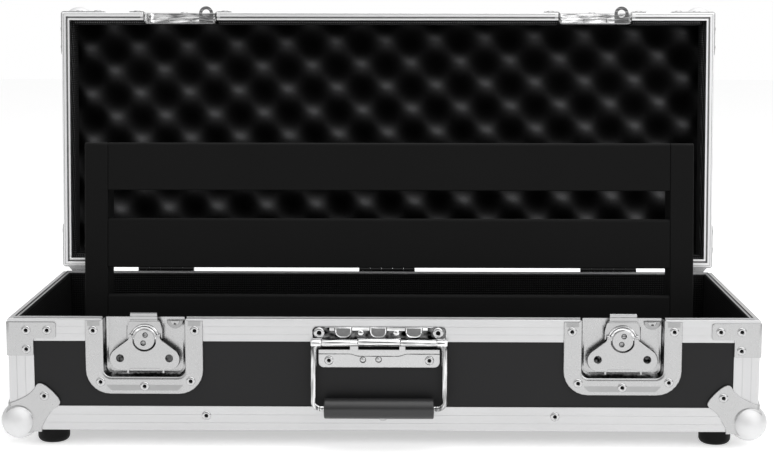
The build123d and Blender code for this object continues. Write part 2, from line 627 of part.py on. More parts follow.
with BuildPart(BASE) as hinge_pins:
    for x in HINGE_X:
        rod(x - HINGE_W / 2, x + HINGE_W / 2, HINGE_Y, HINGE_Z, PIN_R)
hinge_pins.part.label = "hinge_pins"
export_step(hinge_pins.part, "parts/hinge_pins.step")

with BuildPart(LID) as lid_leaves:
    for x in HINGE_X:
        leaf(x, 1, (1, 3), PIN_R + RUN_FIT)
lid_leaves.part.label = "hinge_lid_leaves"
export_step(lid_leaves.part, "parts/hinge_lid_leaves.step")


# ---------------------------------------------------------------- slatted board
ROLLER_Z = MAT_TOP + ROLLER_R + 0.02
up_slope = Vector(0, sin(radians(BOARD_LEAN)), cos(radians(BOARD_LEAN)))
BOARD = placed(BASE, Plane((BOARD_X, ROLLER_Y, ROLLER_Z), x_dir=(1, 0, 0), z_dir=up_slope))
# in the board's frame z runs up the slope, and y from its front to its back
BACK = ROLLER_IN
BOARD_FRONT = BACK - BOARD_T
BOTTOM = -ROLLER_IN
TOP = BOTTOM + BOARD_L
SPINDLE_X = BOARD_W / 2 - RAIL_W

with BuildPart() as board_slats:
    for start, end in SLATS:
        with BuildSketch(placed(BOARD, Plane((0, 0, 0), x_dir=(0, 1, 0), z_dir=(1, 0, 0)))) as slat:
            with Locations((BOARD_FRONT, TOP - start)):
                Rectangle(SLAT_T, end - start, align=(Align.MIN, Align.MAX))
            fillet(slat.vertices().sort_by_distance((BOARD_FRONT, TOP - start))[0], SLAT_ROUND)
            fillet(slat.vertices().sort_by_distance((BOARD_FRONT, TOP - end))[0], SLAT_EASE)
        extrude(amount=BOARD_W / 2 - RAIL_W, both=True)
board_slats.part.label = "board_slats"
export_step(board_slats.part, "parts/board_slats.step")

with BuildPart() as board_rails:
    for sign in (-1, 1):
        with BuildSketch(placed(BOARD, Plane((sign * (BOARD_W - RAIL_W) / 2, 0, 0), x_dir=(0, 1, 0), z_dir=(1, 0, 0)))) as rail:
            with Locations(((BACK + BOARD_FRONT) / 2, (TOP + BOTTOM) / 2)):
                Rectangle(BOARD_T, BOARD_L)
            fillet(rail.vertices().sort_by_distance((BACK, BOTTOM))[0], ROLLER_IN - 0.01)
            fillet(rail.vertices().group_by(Axis.Y)[-1], 3)
            Circle(2.5 + RUN_FIT, mode=Mode.SUBTRACT)
        extrude(amount=RAIL_W / 2, both=True)
board_rails.part.label = "board_side_rails"
export_step(board_rails.part, "parts/board_side_rails.step")

with BuildPart(BASE) as board_rollers:
    for sign in (-1, 1):
        near, far = sorted((sign * (SPINDLE_X - 1 - ROLLER_L), sign * (SPINDLE_X - 1)))
        rod(BOARD_X + near, BOARD_X + far, ROLLER_Y, ROLLER_Z, ROLLER_R)
        near, far = sorted((sign * (SPINDLE_X - 2), sign * (SPINDLE_X + 12)))
        rod(BOARD_X + near, BOARD_X + far, ROLLER_Y, ROLLER_Z, 2.5)
board_rollers.part.label = "board_foot_rollers"
export_step(board_rollers.part, "parts/board_foot_rollers.step")


# ---------------------------------------------------------------- rivets
def rivets(spots):
    """Domed heads with a hollow middle, one on each plane."""
    with Locations(*spots):
        Cone(RIVET_R, RIVET_R * 0.62, 1.3, align=(Align.CENTER, Align.CENTER, Align.MIN))
        Cylinder(1.4, 4, mode=Mode.SUBTRACT)


def brace_rivets(frame, rim_z, toward, places):
    """On both arms of the four corner braces."""
    spots = []
    for side in OUTWARD:
        for sign in (-1, 1):
            for off, drop in places:
                x = sign * (SPAN[side] / 2 - off)
                spots.append(elevation(frame, side, x=x, z=rim_z + toward * drop, proud=PLATE))
    return spots


def ball_rivets(frame, z, toward):
    """One in each wall lobe of the ball corners."""
    spots = []
    for side in OUTWARD:
        for sign in (-1, 1):
            spots.append(elevation(frame, side, x=sign * (SPAN[side] / 2 - 33), z=z + toward * 33, proud=PLATE))
    return spots


def flange_rivets(frame, rim_z, toward, places):
    """Round the flanges of the two latch pans."""
    return [elevation(frame, "front", x=x + dx, z=rim_z + toward * drop, proud=METAL)
            for x in (-LATCH_X, LATCH_X) for dx, drop in places]


def leaf_rivets(frame, toward):
    """Two in each hinge leaf."""
    z = HINGE_Z + toward * (LEAF_OFF + LEAF_H * 0.62)
    return [elevation(frame, "back", x=x + dx, z=z, proud=PLATE) for x in HINGE_X for dx in (-20, 20)]


EDGE_RIVETS = ((184 - HALF_W, 0, HALF_W - 189), (76 - HALF_D, HALF_D - 76))     # along the long and the short edges
edge_z = EDGE_LEG * 0.62


def edge_rivets(frame, z, toward):
    """Along the edge angles."""
    return [elevation(frame, side, x=x, z=z + toward * edge_z)
            for side in OUTWARD for x in EDGE_RIVETS[0 if SPAN[side] == CASE_W else 1]]


with BuildPart() as base_rivets:
    rivets(brace_rivets(BASE, BASE_H, -1, ((17.5, 10.7), (37.0, 10.7), (17.5, 28.5))))
    rivets(ball_rivets(BASE, 0, 1))
    rivets(edge_rivets(BASE, 0, 1))
    rivets(leaf_rivets(BASE, -1))
    rivets(flange_rivets(BASE, BASE_H, -1, (
        (-47.2, 10.8), (47.2, 10.8),
        (-41, FLANGE_DROP - 11.5), (0, FLANGE_DROP - 7.5), (43, FLANGE_DROP - 12.4),
    )))
    rivets([elevation(BASE, "front", x=HANDLE_X + x, z=BASE_H - 12.4, proud=PLATE) for x in (-55.7, 55.7)])
    rivets([elevation(BASE, "front", x=HANDLE_X + x, z=BASE_H - 38.3, proud=PLATE) for x in (-46.6, 46.6)])
base_rivets.part.label = "base_rivets"
export_step(base_rivets.part, "parts/base_rivets.step")

with BuildPart() as lid_rivets:
    rivets(brace_rivets(LID, LID_RIM, 1, ((17.5, 10.7), (37.0, 10.7))))
    rivets(ball_rivets(LID, LID_TOP, -1))
    rivets(edge_rivets(LID, LID_TOP, -1))
    rivets(leaf_rivets(LID, 1))
    rivets(flange_rivets(LID, LID_RIM, 1, ((-47.2, 10.8), (47.2, 10.8), (0, 37.5))))
lid_rivets.part.label = "lid_rivets"
export_step(lid_rivets.part, "parts/lid_rivets.step")
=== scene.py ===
# %% [markdown]
# # A pedal case for guitar effects
# A flight case is a plywood box with metal edges. Here it stands open, and a slatted black
# board leans inside it. CAD has already made every piece at its true size. This lesson
# loads those pieces as a fixed frame and gives each one its finish. Then it models again
# what CAD leaves plain: the rivets, the pressed hardware, the board and all the foam.

# %% Load the frame
import math

import bmesh
import bpy
from mathutils import Matrix, Vector


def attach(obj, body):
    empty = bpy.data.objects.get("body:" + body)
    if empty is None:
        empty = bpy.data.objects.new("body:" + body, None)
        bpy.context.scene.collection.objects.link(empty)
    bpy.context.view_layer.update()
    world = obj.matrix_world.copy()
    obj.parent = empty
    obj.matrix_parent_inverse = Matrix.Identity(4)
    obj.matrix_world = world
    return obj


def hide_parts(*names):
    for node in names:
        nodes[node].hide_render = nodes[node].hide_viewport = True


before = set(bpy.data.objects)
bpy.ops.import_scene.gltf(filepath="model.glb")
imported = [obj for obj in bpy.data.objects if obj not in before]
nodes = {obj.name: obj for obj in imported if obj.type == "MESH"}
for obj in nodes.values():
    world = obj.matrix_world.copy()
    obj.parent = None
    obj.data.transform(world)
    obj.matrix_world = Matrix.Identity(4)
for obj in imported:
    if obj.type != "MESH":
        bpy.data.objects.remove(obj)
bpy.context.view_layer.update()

# %% [markdown]
# ## Where things are
# Sizes are in millimetres, as on a maker's drawing, and two small frames turn them into
# the scene's metres. One is for the base, whose centre is a little in front of the origin
# because the open lid sticks out behind. The other is for the lid, which is turned back
# about the hinge line. In its frame the lid is shut, so its parts line up with the base.

# %% The two frames
MM = 0.001
CASE_W, CASE_D, BASE_H, LID_H = 698.0, 272.0, 106.0, 68.0
LID_OPEN = 94.5
BASE_Y, FOOT_H = -41.37, 16.0
WALL, MAT = 7.0, 14.0           # metal and plywood together; the floor mat
SHEET = 1.5                     # the steel of braces, caps, hinge leaves and handle
LATCHES = {"left": -222.0, "right": 222.0}
LEFT, RIGHT = LATCHES.values()
PAN_HALF, BASE_PAN, LID_PAN = 38.0, 54.7, 29.0      # a latch pan's half width and its two lengths
HANDLE_X = -3.7
LID_RIM = BASE_H + 0.4
LID_TOP = LID_RIM + LID_H
HINGE_Y, HINGE_Z = CASE_D / 2 + 4.5, BASE_H + 0.9

BASE = Matrix.Scale(MM, 4) @ Matrix.Translation((0, BASE_Y, FOOT_H))
swing = Matrix.Translation((0, HINGE_Y, HINGE_Z)) @ Matrix.Rotation(math.radians(-LID_OPEN), 4, "X")
LID = BASE @ swing @ Matrix.Translation((0, -HINGE_Y, -HINGE_Z))
print("lid rim, front edge:", LID @ Vector((0, -CASE_D / 2, LID_RIM)))

# %% [markdown]
# ## Writing shader maths as Python
# A material is a graph of nodes. Wiring it by hand is slow to read, so a small class wraps
# one socket and lets ordinary sums and products add the Math nodes. A second class makes
# every kind of node, and a third is such a graph together with the material it belongs to.

# %% A socket that understands arithmetic
def operator(operation, swapped=False):
    """A method that answers a Python operator with a Math node."""
    def apply(self, other):
        return self.finish.maths(operation, *((other, self) if swapped else (self, other)))
    return apply


class Wire:
    def __init__(self, finish, socket):
        self.finish, self.socket = finish, socket

    __add__, __radd__ = operator("ADD"), operator("ADD", swapped=True)
    __sub__, __rsub__ = operator("SUBTRACT"), operator("SUBTRACT", swapped=True)
    __mul__, __rmul__ = operator("MULTIPLY"), operator("MULTIPLY", swapped=True)
    __pow__ = operator("POWER")


class Made:
    def __init__(self, finish, node):
        self.finish, self.node = finish, node

    def out(self, name=0):
        return Wire(self.finish, self.node.outputs[name])


# %% A graph that makes its own nodes
class Graph:
    def __init__(self, tree):
        self.tree = tree

    def node(self, kind, settings=None, inputs=None):
        made = self.tree.nodes.new(kind)
        for key, value in (settings or {}).items():
            setattr(made, key, value)
        for key, value in (inputs or {}).items():
            if isinstance(value, Wire):
                self.tree.links.new(value.socket, made.inputs[key])
            else:
                made.inputs[key].default_value = value
        return Made(self, made)

    def maths(self, operation, *values):
        return self.node("ShaderNodeMath", {"operation": operation}, dict(enumerate(values))).out("Value")

    def apart(self, vector):
        split = self.node("ShaderNodeSeparateXYZ", {}, {"Vector": vector})
        return [split.out(axis) for axis in "XYZ"]

    def range(self, mask, low, high):
        made = self.node("ShaderNodeMapRange", {}, {"Value": mask, "To Min": low, "To Max": high})
        return made.out("Result")

    def absolute(self, value):
        return self.maths("ABSOLUTE", value)

    def ramp(self, value, start, end):
        """0 up to start, 1 from end on."""
        made = self.node("ShaderNodeMapRange", {}, {"Value": value, "From Min": start, "From Max": end})
        return made.out("Result")


# %% A material with a principled shader
FUZZ = 900.0        # the scale of a noise so fine that it only breaks up a smooth surface


class Finish(Graph):
    def __init__(self, name, **fixed):
        self.material = bpy.data.materials.new(name)
        self.material.use_nodes = True
        super().__init__(self.material.node_tree)
        self.shader = self.tree.nodes["Principled BSDF"]
        self.place = self.node("ShaderNodeTexCoord").out("Object")
        for socket, value in fixed.items():
            self.shader.inputs[socket.replace("_", " ")].default_value = value

    def feed(self, socket, value):
        self.tree.links.new(value.socket, self.shader.inputs[socket])

    def scaled(self, x, y, z, turn=(0, 0, 0)):
        sockets = {"Vector": self.place, "Scale": (x, y, z), "Rotation": turn}
        made = self.node("ShaderNodeMapping", {}, sockets)
        return made.out("Vector")

    def noise(self, where, scale, detail=3.0):
        made = self.node("ShaderNodeTexNoise", {}, {"Vector": where, "Scale": scale, "Detail": detail})
        return made.out("Fac")

    def colour(self, mask, low, high):
        mix = self.node("ShaderNodeMix", {"data_type": "RGBA"}, {"Factor": mask, 6: (*low, 1), 7: (*high, 1)})
        self.feed("Base Color", mix.out(2))

    def rough(self, mask, low, high):
        self.feed("Roughness", self.range(mask, low, high))

    def bump(self, height, depth, strength=1.0):
        made = self.node("ShaderNodeBump", {}, {"Height": height, "Distance": depth, "Strength": strength})
        self.feed("Normal", made.out("Normal"))


def grey(value, blue=1.0):
    return value, value, value * blue


def shades(colour, *factors):
    return [tuple(channel * factor for channel in colour) for factor in factors]


def dress(finish, *names):
    """Give CAD nodes a finish, in their own material slots."""
    for name in names:
        for slot in nodes[name].material_slots:
            slot.material = finish.material


def named(*starts):
    """The CAD nodes whose names start like this."""
    return [node for node in nodes if node.startswith(starts)]


# %% [markdown]
# ## Aluminium edges
# The rims, edge angles and corner posts are drawn through a die, so they carry fine lines
# along their length and a soft satin sheen. The lines are noise stretched along the
# profile. Each direction needs its own stretch, so one function makes them all. It can
# also make the face where the lid meets the base brighter, and paint shade into the
# posts' grooves as dark lines.

# %% Drawn aluminium
GROOVE_SHADE = 0.13


def drawn_aluminium(name, stretch, turn=(0, 0, 0), tint=1.0, rim_face_gain=0, grooves=()):
    finish = Finish(name, Metallic=1.0)
    lines = finish.noise(finish.scaled(*stretch, turn=turn), 1.0, 4.0)
    clouds = finish.noise(finish.place, 22.0)
    tone = finish.range(clouds, 0.565 * tint, 0.63 * tint)
    # Brighter on the face where the lid meets the base.
    if rim_face_gain:
        _, y, z = finish.apart(finish.place)
        up = LID.to_3x3() @ Vector((0, 0, 1)) / MM
        above = y * up.y + z * up.z - up.dot(LID @ Vector((0, 0, LID_RIM)))
        tone = tone * (1 + finish.ramp(above, 0.0003, 0.0001) * (rim_face_gain - 1))
    # Painted shade: dark lines where the corner posts have their grooves.
    if grooves:
        x, y, _ = finish.apart(finish.place)
        for along, centre, reach in ((x, 0, CASE_W / 2), (y, BASE_Y, CASE_D / 2)):
            inset = reach * MM - finish.absolute(along - centre * MM)
            for at in grooves:
                clear = finish.ramp(finish.absolute(inset - at * MM), 0.0001, 0.0005)
                tone = tone * (1 - GROOVE_SHADE + GROOVE_SHADE * clear)
    finish.colour(tone, grey(0.0), grey(1.0, 1.008))
    finish.rough(lines, 0.30, 0.46)
    finish.bump(lines, 0.00004, 0.35)
    return finish


FINE, LONG = 1400.0, 6.0
lean = math.radians(LID_OPEN)
along_x = drawn_aluminium("aluminium drawn along the case", (LONG, FINE, FINE))
along_y = drawn_aluminium("aluminium drawn front to back", (FINE, LONG, FINE), tint=0.75)
along_lid = drawn_aluminium("aluminium drawn up the lid", (FINE, LONG, FINE), turn=(lean, 0, 0), rim_face_gain=1.5)
across_lid = drawn_aluminium("aluminium drawn across the lid", (LONG, FINE, FINE), rim_face_gain=1.7)
upright = drawn_aluminium("aluminium corner post", (FINE, FINE, LONG), grooves=(7.7, 15.9))
dress(along_x, *named("base_rim", "base_edge", "lid_edge"))
dress(along_y, "base_rim_left", "base_rim_right")
dress(across_lid, *named("lid_rim"))
dress(along_lid, "lid_rim_left", "lid_rim_right")
dress(upright, "base_corner_angles", "lid_corner_angles")

# %% [markdown]
# ## Plated steel
# The ball corners, braces, latch pans, handle and rivets are pressed from steel and
# plated. Pressed plate is smoother than drawn aluminium, with faint waves where the sheet
# was stretched. The waves are a very low bump, which bends the reflections a little. Some
# places hardly see the light, such as a pan's walls and the tray of the handle, and there
# a darker grey is painted on as painted shade. On the polished plate, the bent rod and the
# lid pans' walls the waves also cut the colour into hard bright and dark streaks, which are
# painted reflections.

# %% Bright plate
def bright_plate(name, dark, light, rough, wave=0.00006, grain=55.0, stretch=(1, 1, 1), crisp=False):
    finish = Finish(name, Metallic=1.0)
    ripples = finish.noise(finish.scaled(*stretch), grain, 2.0)
    # Crisp cuts the waves into hard patches: painted reflections on bright finishes, mottled painted shade on
    # dark ones.
    if crisp:
        ripples = finish.ramp(ripples, 0.38, 0.62)
    specks = finish.noise(finish.place, FUZZ, 2.0)
    finish.colour(ripples, grey(dark, 1.005), grey(light, 1.005))
    finish.rough(specks, rough * 0.9, rough * 1.1)
    finish.bump(ripples, wave, 0.6)
    return finish


plate = bright_plate("pressed plate", 0.455, 0.49, 0.28, wave=0.00001)
satin = bright_plate("satin plate", 0.72, 0.77, 0.62)
# Painted reflections: the polished plate, the bent rod and the streaky pan wall are streaked bright and dark.
polished = bright_plate("polished plate", 0.45, 0.88, 0.10, grain=150.0, stretch=(0.3, 3, 3), crisp=True)
domed = bright_plate("rivet head", 0.45, 0.60, 0.14, grain=300.0)
pressed = bright_plate("folded hook plate", 0.40, 0.45, 0.20)
rodded = bright_plate("bent rod", 0.14, 0.74, 0.12, grain=60.0, stretch=(9, 9, 0.12), crisp=True)
# Painted shade: near black behind the wing's holes and round its edge.
cup_shade = bright_plate("painted shade in wing holes", 0.0, 0.10, 0.30, grain=420.0, crisp=True)
band = bright_plate("rolled band", 0.34, 0.42, 0.40)
# Painted shade: dark grey for a pan's walls, and near black for the tray, the hinge pins and shadow lines.
shaded = bright_plate("pan wall painted shade", 0.0, 0.30, 0.22, grain=90.0, stretch=(3, 1, 1), crisp=True)
painted_shade = bright_plate("painted shade plate", 0.0, 0.16, 0.20, wave=0.0004, grain=130.0, crisp=True)
streaky = bright_plate("streaky pan wall", 0.20, 1.0, 0.20, grain=60.0, stretch=(1, 7, 7), crisp=True)
fair = bright_plate("handle plate", 0.51, 0.55, 0.28, wave=0.00001)
# Painted shade: dark grey in the handle's pockets and the lid rim's groove.
recess_shade = bright_plate("painted shade in recesses", 0.14, 0.24, 0.45, grain=300.0)
# Painted shade: near black in the rivets' hollows and in the slot behind the bail.
hollow = Finish("painted shade in hollows", Roughness=0.8, Specular_IOR_Level=0.1)
hollow.colour(hollow.noise(hollow.place, FUZZ), grey(0.002), grey(0.01))
# All that isn't aluminium starts as plate, and the cells below dress wood and rubber again.
dress(plate, *[node for node in nodes if "rim" not in node and not node.endswith("angles")])
dress(polished, "foot_screws", "base_rivets", "lid_rivets")
dress(rodded, "handle_bail")
# The hinge pins are dark as painted shade.
dress(painted_shade, "hinge_pins")

# %% [markdown]
# ## Hinge plate
# A hinge is plated strip rolled into a barrel. The front of the barrel is shut in between
# base and lid and lies in shade, so it is painted black as painted shade. Its place along
# two axes makes the mask for that.

# %% Barrel
BARREL, EDGE = 0.0043, 0.0002
hinge = Finish("hinge plate and painted shade", Metallic=1.0)
_, behind, up = hinge.apart(hinge.place)
line_y, line_z = (BASE_Y + HINGE_Y) * MM, (FOOT_H + HINGE_Z) * MM
low, high = line_z - BARREL, line_z + BARREL
near = hinge.ramp(up, low, low + EDGE) * hinge.ramp(up, high, high - EDGE)
shut_in_shade = hinge.ramp(behind, line_y + 0.0012, line_y) * near
# Painted shade: black where the barrel is shut in between base and lid.
hinge.colour(shut_in_shade, (0.48, 0.48, 0.485), grey(0.012))
hinge.rough(hinge.noise(hinge.place, FUZZ), 0.22, 0.34)
dress(hinge, "hinge_base_leaves", "hinge_lid_leaves")

# %% [markdown]
# ## Laminate, paint and rubber
# The plywood's face is a black laminate with a fine pebble that catches the light. The
# board is painted matt black over wood. The feet, rollers and grip are plain rubber.

# %% Black surfaces
def black_skin(name, colour, rough, grain, depth, shine):
    finish = Finish(name, Specular_IOR_Level=shine)
    pebbles = finish.noise(finish.place, grain, 2.0)
    clouds = finish.noise(finish.place, 9.0)
    finish.colour(clouds, *shades(colour, 0.8, 1.2))
    finish.rough(pebbles, rough - 0.07, rough + 0.07)
    finish.bump(pebbles, depth, 0.5)
    return finish


laminate = black_skin("black laminate", (0.0090, 0.0090, 0.0097), 0.48, 1500.0, 0.0001, 0.27)
paint = black_skin("matt black paint", grey(0.0055), 0.62, 700.0, 0.00006, 0.10)
rubber = black_skin("grip rubber", (0.028, 0.028, 0.029), 0.33, 1200.0, 0.00005, 0.5)
foot_rubber = black_skin("foot rubber", grey(0.005), 0.55, 1200.0, 0.00008, 0.15)
dress(laminate, *[node for node in nodes if "panel" in node or node == "base_floor"])
dress(paint, "board_slats", "board_side_rails")
dress(rubber, "handle_grip")
dress(foot_rubber, "rubber_feet", "board_foot_rollers")
print(len(bpy.data.materials), "finishes for", len(nodes), "nodes")

# %% [markdown]
# ## Tools for pressed metal
# Most of the hardware is sheet steel, pressed and riveted on, so a few helpers make it:
# a flat plate cut from an outline whose corners carry their own radius, a block, a part
# spun from its profile and a rod. Each is drawn once in millimetres and stamped into a
# template. The last helper puts a template at every place that needs it, as one object
# with its materials, its body and the node that it stands for.

# %% Frames on the walls
TURNS = {"front": 0, "right": 90, "back": 180, "left": 270}


def facing(space, side, x=0.0, z=0.0, proud=0.0):
    """A frame on a wall's outer face: x to the right, y up, z outward."""
    reach = CASE_D / 2 if side in ("front", "back") else CASE_W / 2
    turn = Matrix.Rotation(math.radians(TURNS[side]), 4, "Z")
    stand = Matrix(((1, 0, 0, x), (0, 0, -1, -reach - proud), (0, 1, 0, z), (0, 0, 0, 1)))
    return space @ turn @ stand


def corners(space, z, up=1):
    """Frames at the four upright edges of the case: x and y run inboard, z up or down."""
    frames = []
    for quarter in range(4):
        turn = Matrix.Rotation(math.radians(90 * quarter), 4, "Z")
        reach_x, reach_y = (CASE_W / 2, CASE_D / 2) if quarter % 2 == 0 else (CASE_D / 2, CASE_W / 2)
        stand = Matrix.Translation((-reach_x, -reach_y, z)) @ Matrix.Diagonal((1, 1, up, 1))
        frames.append(space @ turn @ stand)
    return frames


# %% Small operations
def soften_edges(mesh, edges, offset):
    bmesh.ops.bevel(mesh, geom=edges, offset=offset, segments=2, profile=0.5, affect="EDGES", material=-1)


def cut(mesh, point, normal, **options):
    """Cut a whole mesh along a plane."""
    whole = mesh.verts[:] + mesh.edges[:] + mesh.faces[:]
    bmesh.ops.bisect_plane(mesh, geom=whole, dist=1e-5, plane_co=point, plane_no=normal, **options)


def outward(mesh):
    """Make the faces agree, and point out of the shape where it is closed."""
    bmesh.ops.recalc_face_normals(mesh, faces=mesh.faces)


def new_verts(made):
    return [item for item in made["geom"] if isinstance(item, bmesh.types.BMVert)]


def open_edges(mesh):
    return [edge for edge in mesh.edges if edge.is_boundary]


def flats(mesh, level=0.995):
    """Shade the level faces flat and the rest smooth."""
    outward(mesh)
    for face in mesh.faces:
        face.smooth = max(abs(axis) for axis in face.normal) < level
    return mesh


def rounded(mesh):
    """Shade every face smooth."""
    outward(mesh)
    for face in mesh.faces:
        face.smooth = True
    return mesh


def in_slot(slot, mesh):
    for face in mesh.faces:
        face.material_index = slot
    return mesh


def arc(radius, first, past, step):
    """Outline points round the origin, every few degrees."""
    turns = [math.radians(degrees) for degrees in range(first, past, step)]
    return [(radius * math.cos(turn), radius * math.sin(turn), 0) for turn in turns]


def oblong(x0, x1, y0, y1, low, high):
    """A rectangle's outline, with one radius for its low corners and one for its high ones."""
    return [(x0, y0, low), (x1, y0, low), (x1, y1, high), (x0, y1, high)]


# %% Plates from outlines
def plate_shape(outline, thick, holes=(), soften=0.3, z=0.0, tray=0.0, sink=0.0):
    """A plate from (x, y, corner radius) points, with (x, y, radius) holes and a sunk middle."""
    mesh = bmesh.new()
    rounding = {}
    ring = []
    for x, y, radius in outline:
        ring.append(mesh.verts.new((x, y, z)))
        rounding.setdefault(radius, []).append(ring[-1])
    mesh.faces.new(ring)
    for radius, verts in rounding.items():
        if radius:
            bmesh.ops.bevel(mesh, geom=verts, offset=radius, offset_type="OFFSET", segments=6, profile=0.5,
                            affect="VERTICES", material=-1)
    if holes:
        bmesh.ops.delete(mesh, geom=mesh.faces[:], context="FACES_ONLY")
        for x, y, radius in holes:
            bmesh.ops.create_circle(mesh, segments=24, radius=radius, matrix=Matrix.Translation((x, y, z)))
        bmesh.ops.triangle_fill(mesh, edges=mesh.edges[:], use_beauty=True, use_dissolve=False,
                                normal=(0, 0, 1))
    raised = bmesh.ops.extrude_face_region(mesh, geom=mesh.faces[:])
    bmesh.ops.translate(mesh, vec=(0, 0, thick), verts=new_verts(raised))
    outward(mesh)
    if tray:
        upper = [face for face in mesh.faces if face.normal.z > 0.99]
        bmesh.ops.inset_region(mesh, faces=upper, thickness=tray, depth=-sink, use_even_offset=True)
        for face in upper:
            face.material_index = 1
    if soften:
        rim = [edge for edge in mesh.edges if edge.calc_face_angle(0) > 0.9
               and all(vert.co.z > z + thick - 0.01 for vert in edge.verts)]
        soften_edges(mesh, rim, soften)
    return flats(mesh)


def block(low, high, soften=0.3):
    """A box between two corners, with its edges softened."""
    mesh = bmesh.new()
    bmesh.ops.create_cube(mesh, size=1.0)
    bmesh.ops.scale(mesh, vec=[b - a for a, b in zip(low, high)], verts=mesh.verts)
    bmesh.ops.translate(mesh, vec=[(a + b) / 2 for a, b in zip(low, high)], verts=mesh.verts)
    soften_edges(mesh, mesh.edges[:], soften)
    return flats(mesh)


# %% Round parts
def turned(profile, steps=24, at=(0, 0, 0), slot=0, within=math.inf):
    """Spin a profile of (radius, height) about z; faces within a radius get the slot."""
    mesh = bmesh.new()
    line = [mesh.verts.new((radius, 0, height)) for radius, height in profile]
    edges = [mesh.edges.new(pair) for pair in zip(line, line[1:])]
    bmesh.ops.spin(mesh, geom=line + edges, axis=(0, 0, 1), cent=(0, 0, 0), angle=math.tau, steps=steps,
                   use_merge=True)
    bmesh.ops.remove_doubles(mesh, verts=mesh.verts, dist=1e-4)
    for face in rounded(mesh).faces:
        if face.calc_center_median().xy.length < within:
            face.material_index = slot
    bmesh.ops.translate(mesh, vec=at, verts=mesh.verts)
    return mesh


def rod(x0, x1, y, z, radius, soften=0.4):
    """A round bar along x with softened ends."""
    mesh = bmesh.new()
    lie = Matrix.Translation(((x0 + x1) / 2, y, z)) @ Matrix.Rotation(math.pi / 2, 4, "Y")
    bmesh.ops.create_cone(mesh, cap_ends=True, segments=24, radius1=radius, radius2=radius, depth=x1 - x0,
                          matrix=lie)
    soften_edges(mesh, [edge for edge in mesh.edges if edge.calc_face_angle(0) > 1.2], soften)
    for face in mesh.faces:
        face.smooth = abs(face.normal.x) < 0.99
    return mesh


# %% Stamping and finishing
CREASE = math.radians(38)


def stamp(*shapes):
    """Turn shapes made in millimetres into one template mesh."""
    data = bpy.data.meshes.new("template")
    whole = bmesh.new()
    for shape in shapes:
        part = bpy.data.meshes.new("part")
        shape.to_mesh(part)
        shape.free()
        whole.from_mesh(part)
        bpy.data.meshes.remove(part)
    whole.to_mesh(data)
    whole.free()
    return data


def linked(name, mesh, finishes):
    """Turn a mesh into an object of the scene, with its materials."""
    outward(mesh)
    data = bpy.data.meshes.new(name)
    mesh.to_mesh(data)
    mesh.free()
    made = bpy.data.objects.new(name, data)
    bpy.context.scene.collection.objects.link(made)
    for finish in finishes:
        data.materials.append(finish.material)
    print(name, len(data.polygons), "faces")
    return made


def piece(name, body, replaced, finishes, template, places):
    """Put a template at each place, as one object that stands for a node."""
    mesh = bmesh.new()
    for place in places:
        copy = template.copy()
        copy.transform(place)
        mesh.from_mesh(copy)
        bpy.data.meshes.remove(copy)
    made = linked(name, mesh, finishes)
    kept = [face.use_smooth for face in made.data.polygons]
    made.data.set_sharp_from_angle(angle=CREASE)
    made.data.polygons.foreach_set("use_smooth", kept)
    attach(made, body)
    if replaced:
        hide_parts(replaced)


def steel(name, body, replaced, finishes, template, places):
    piece(name, body, replaced, finishes, template, places)


def plated(name, body, replaced, finishes, template, places):
    piece(name, body, replaced, finishes, template, places)


# %% [markdown]
# ## Rivets
# Every rivet is a tubular one: a low dome with a hollow in its middle, which is painted
# black as painted shade. One profile is spun and stamped wherever the plates are fixed.
# The handle's two end rivets are larger.

# %% Rivet heads
HEAD = ((4.35, 0), (4.35, 0.3), (4.0, 0.75), (3.3, 1.15), (2.6, 1.3), (2.0, 1.22), (1.65, 0.9), (1.5, 0.15),
        (0, 0.15))
EDGE_LEG, LEAF_H, BARREL_R = 23.2, 22, 3.4      # edge angle, hinge leaf, hinge barrel
LINE = 0.62                                     # how far up a leg or a leaf its rivets stand
FLANGE = 1.2                                    # the steel of a latch pan
BIGGER = Matrix.Diagonal((1.2, 1.2, 1.2, 1))


def wall_spots(space, rim_z, way, offs):
    """The same (distance from the corner, distance from the rim) spots on all four walls."""
    spots = []
    for side in TURNS:
        span = CASE_W if side in ("front", "back") else CASE_D
        for sign in (-1, 1):
            spots += [facing(space, side, sign * (span / 2 - off), rim_z + way * drop, SHEET)
                      for off, drop in offs]
    return spots


def edge_spots(space, z, way):
    """Spots along the edge angles."""
    spots = []
    for side in TURNS:
        along = (-165, 0, 160) if side in ("front", "back") else (-60, 60)
        spots += [facing(space, side, x, z + way * EDGE_LEG * LINE) for x in along]
    return spots


def leaf_spots(space, way):
    """Spots on the hinge leaves."""
    z = HINGE_Z + way * (BARREL_R + LEAF_H * LINE)
    return [facing(space, "back", x + off, z, SHEET) for x in (-238, 0, 238) for off in (-20, 20)]


def flange_spots(space, rim_z, way, offs):
    """Spots on the flanges of the latch pans."""
    return [facing(space, "front", x + off, rim_z + way * drop, FLANGE)
            for x in LATCHES.values() for off, drop in offs]


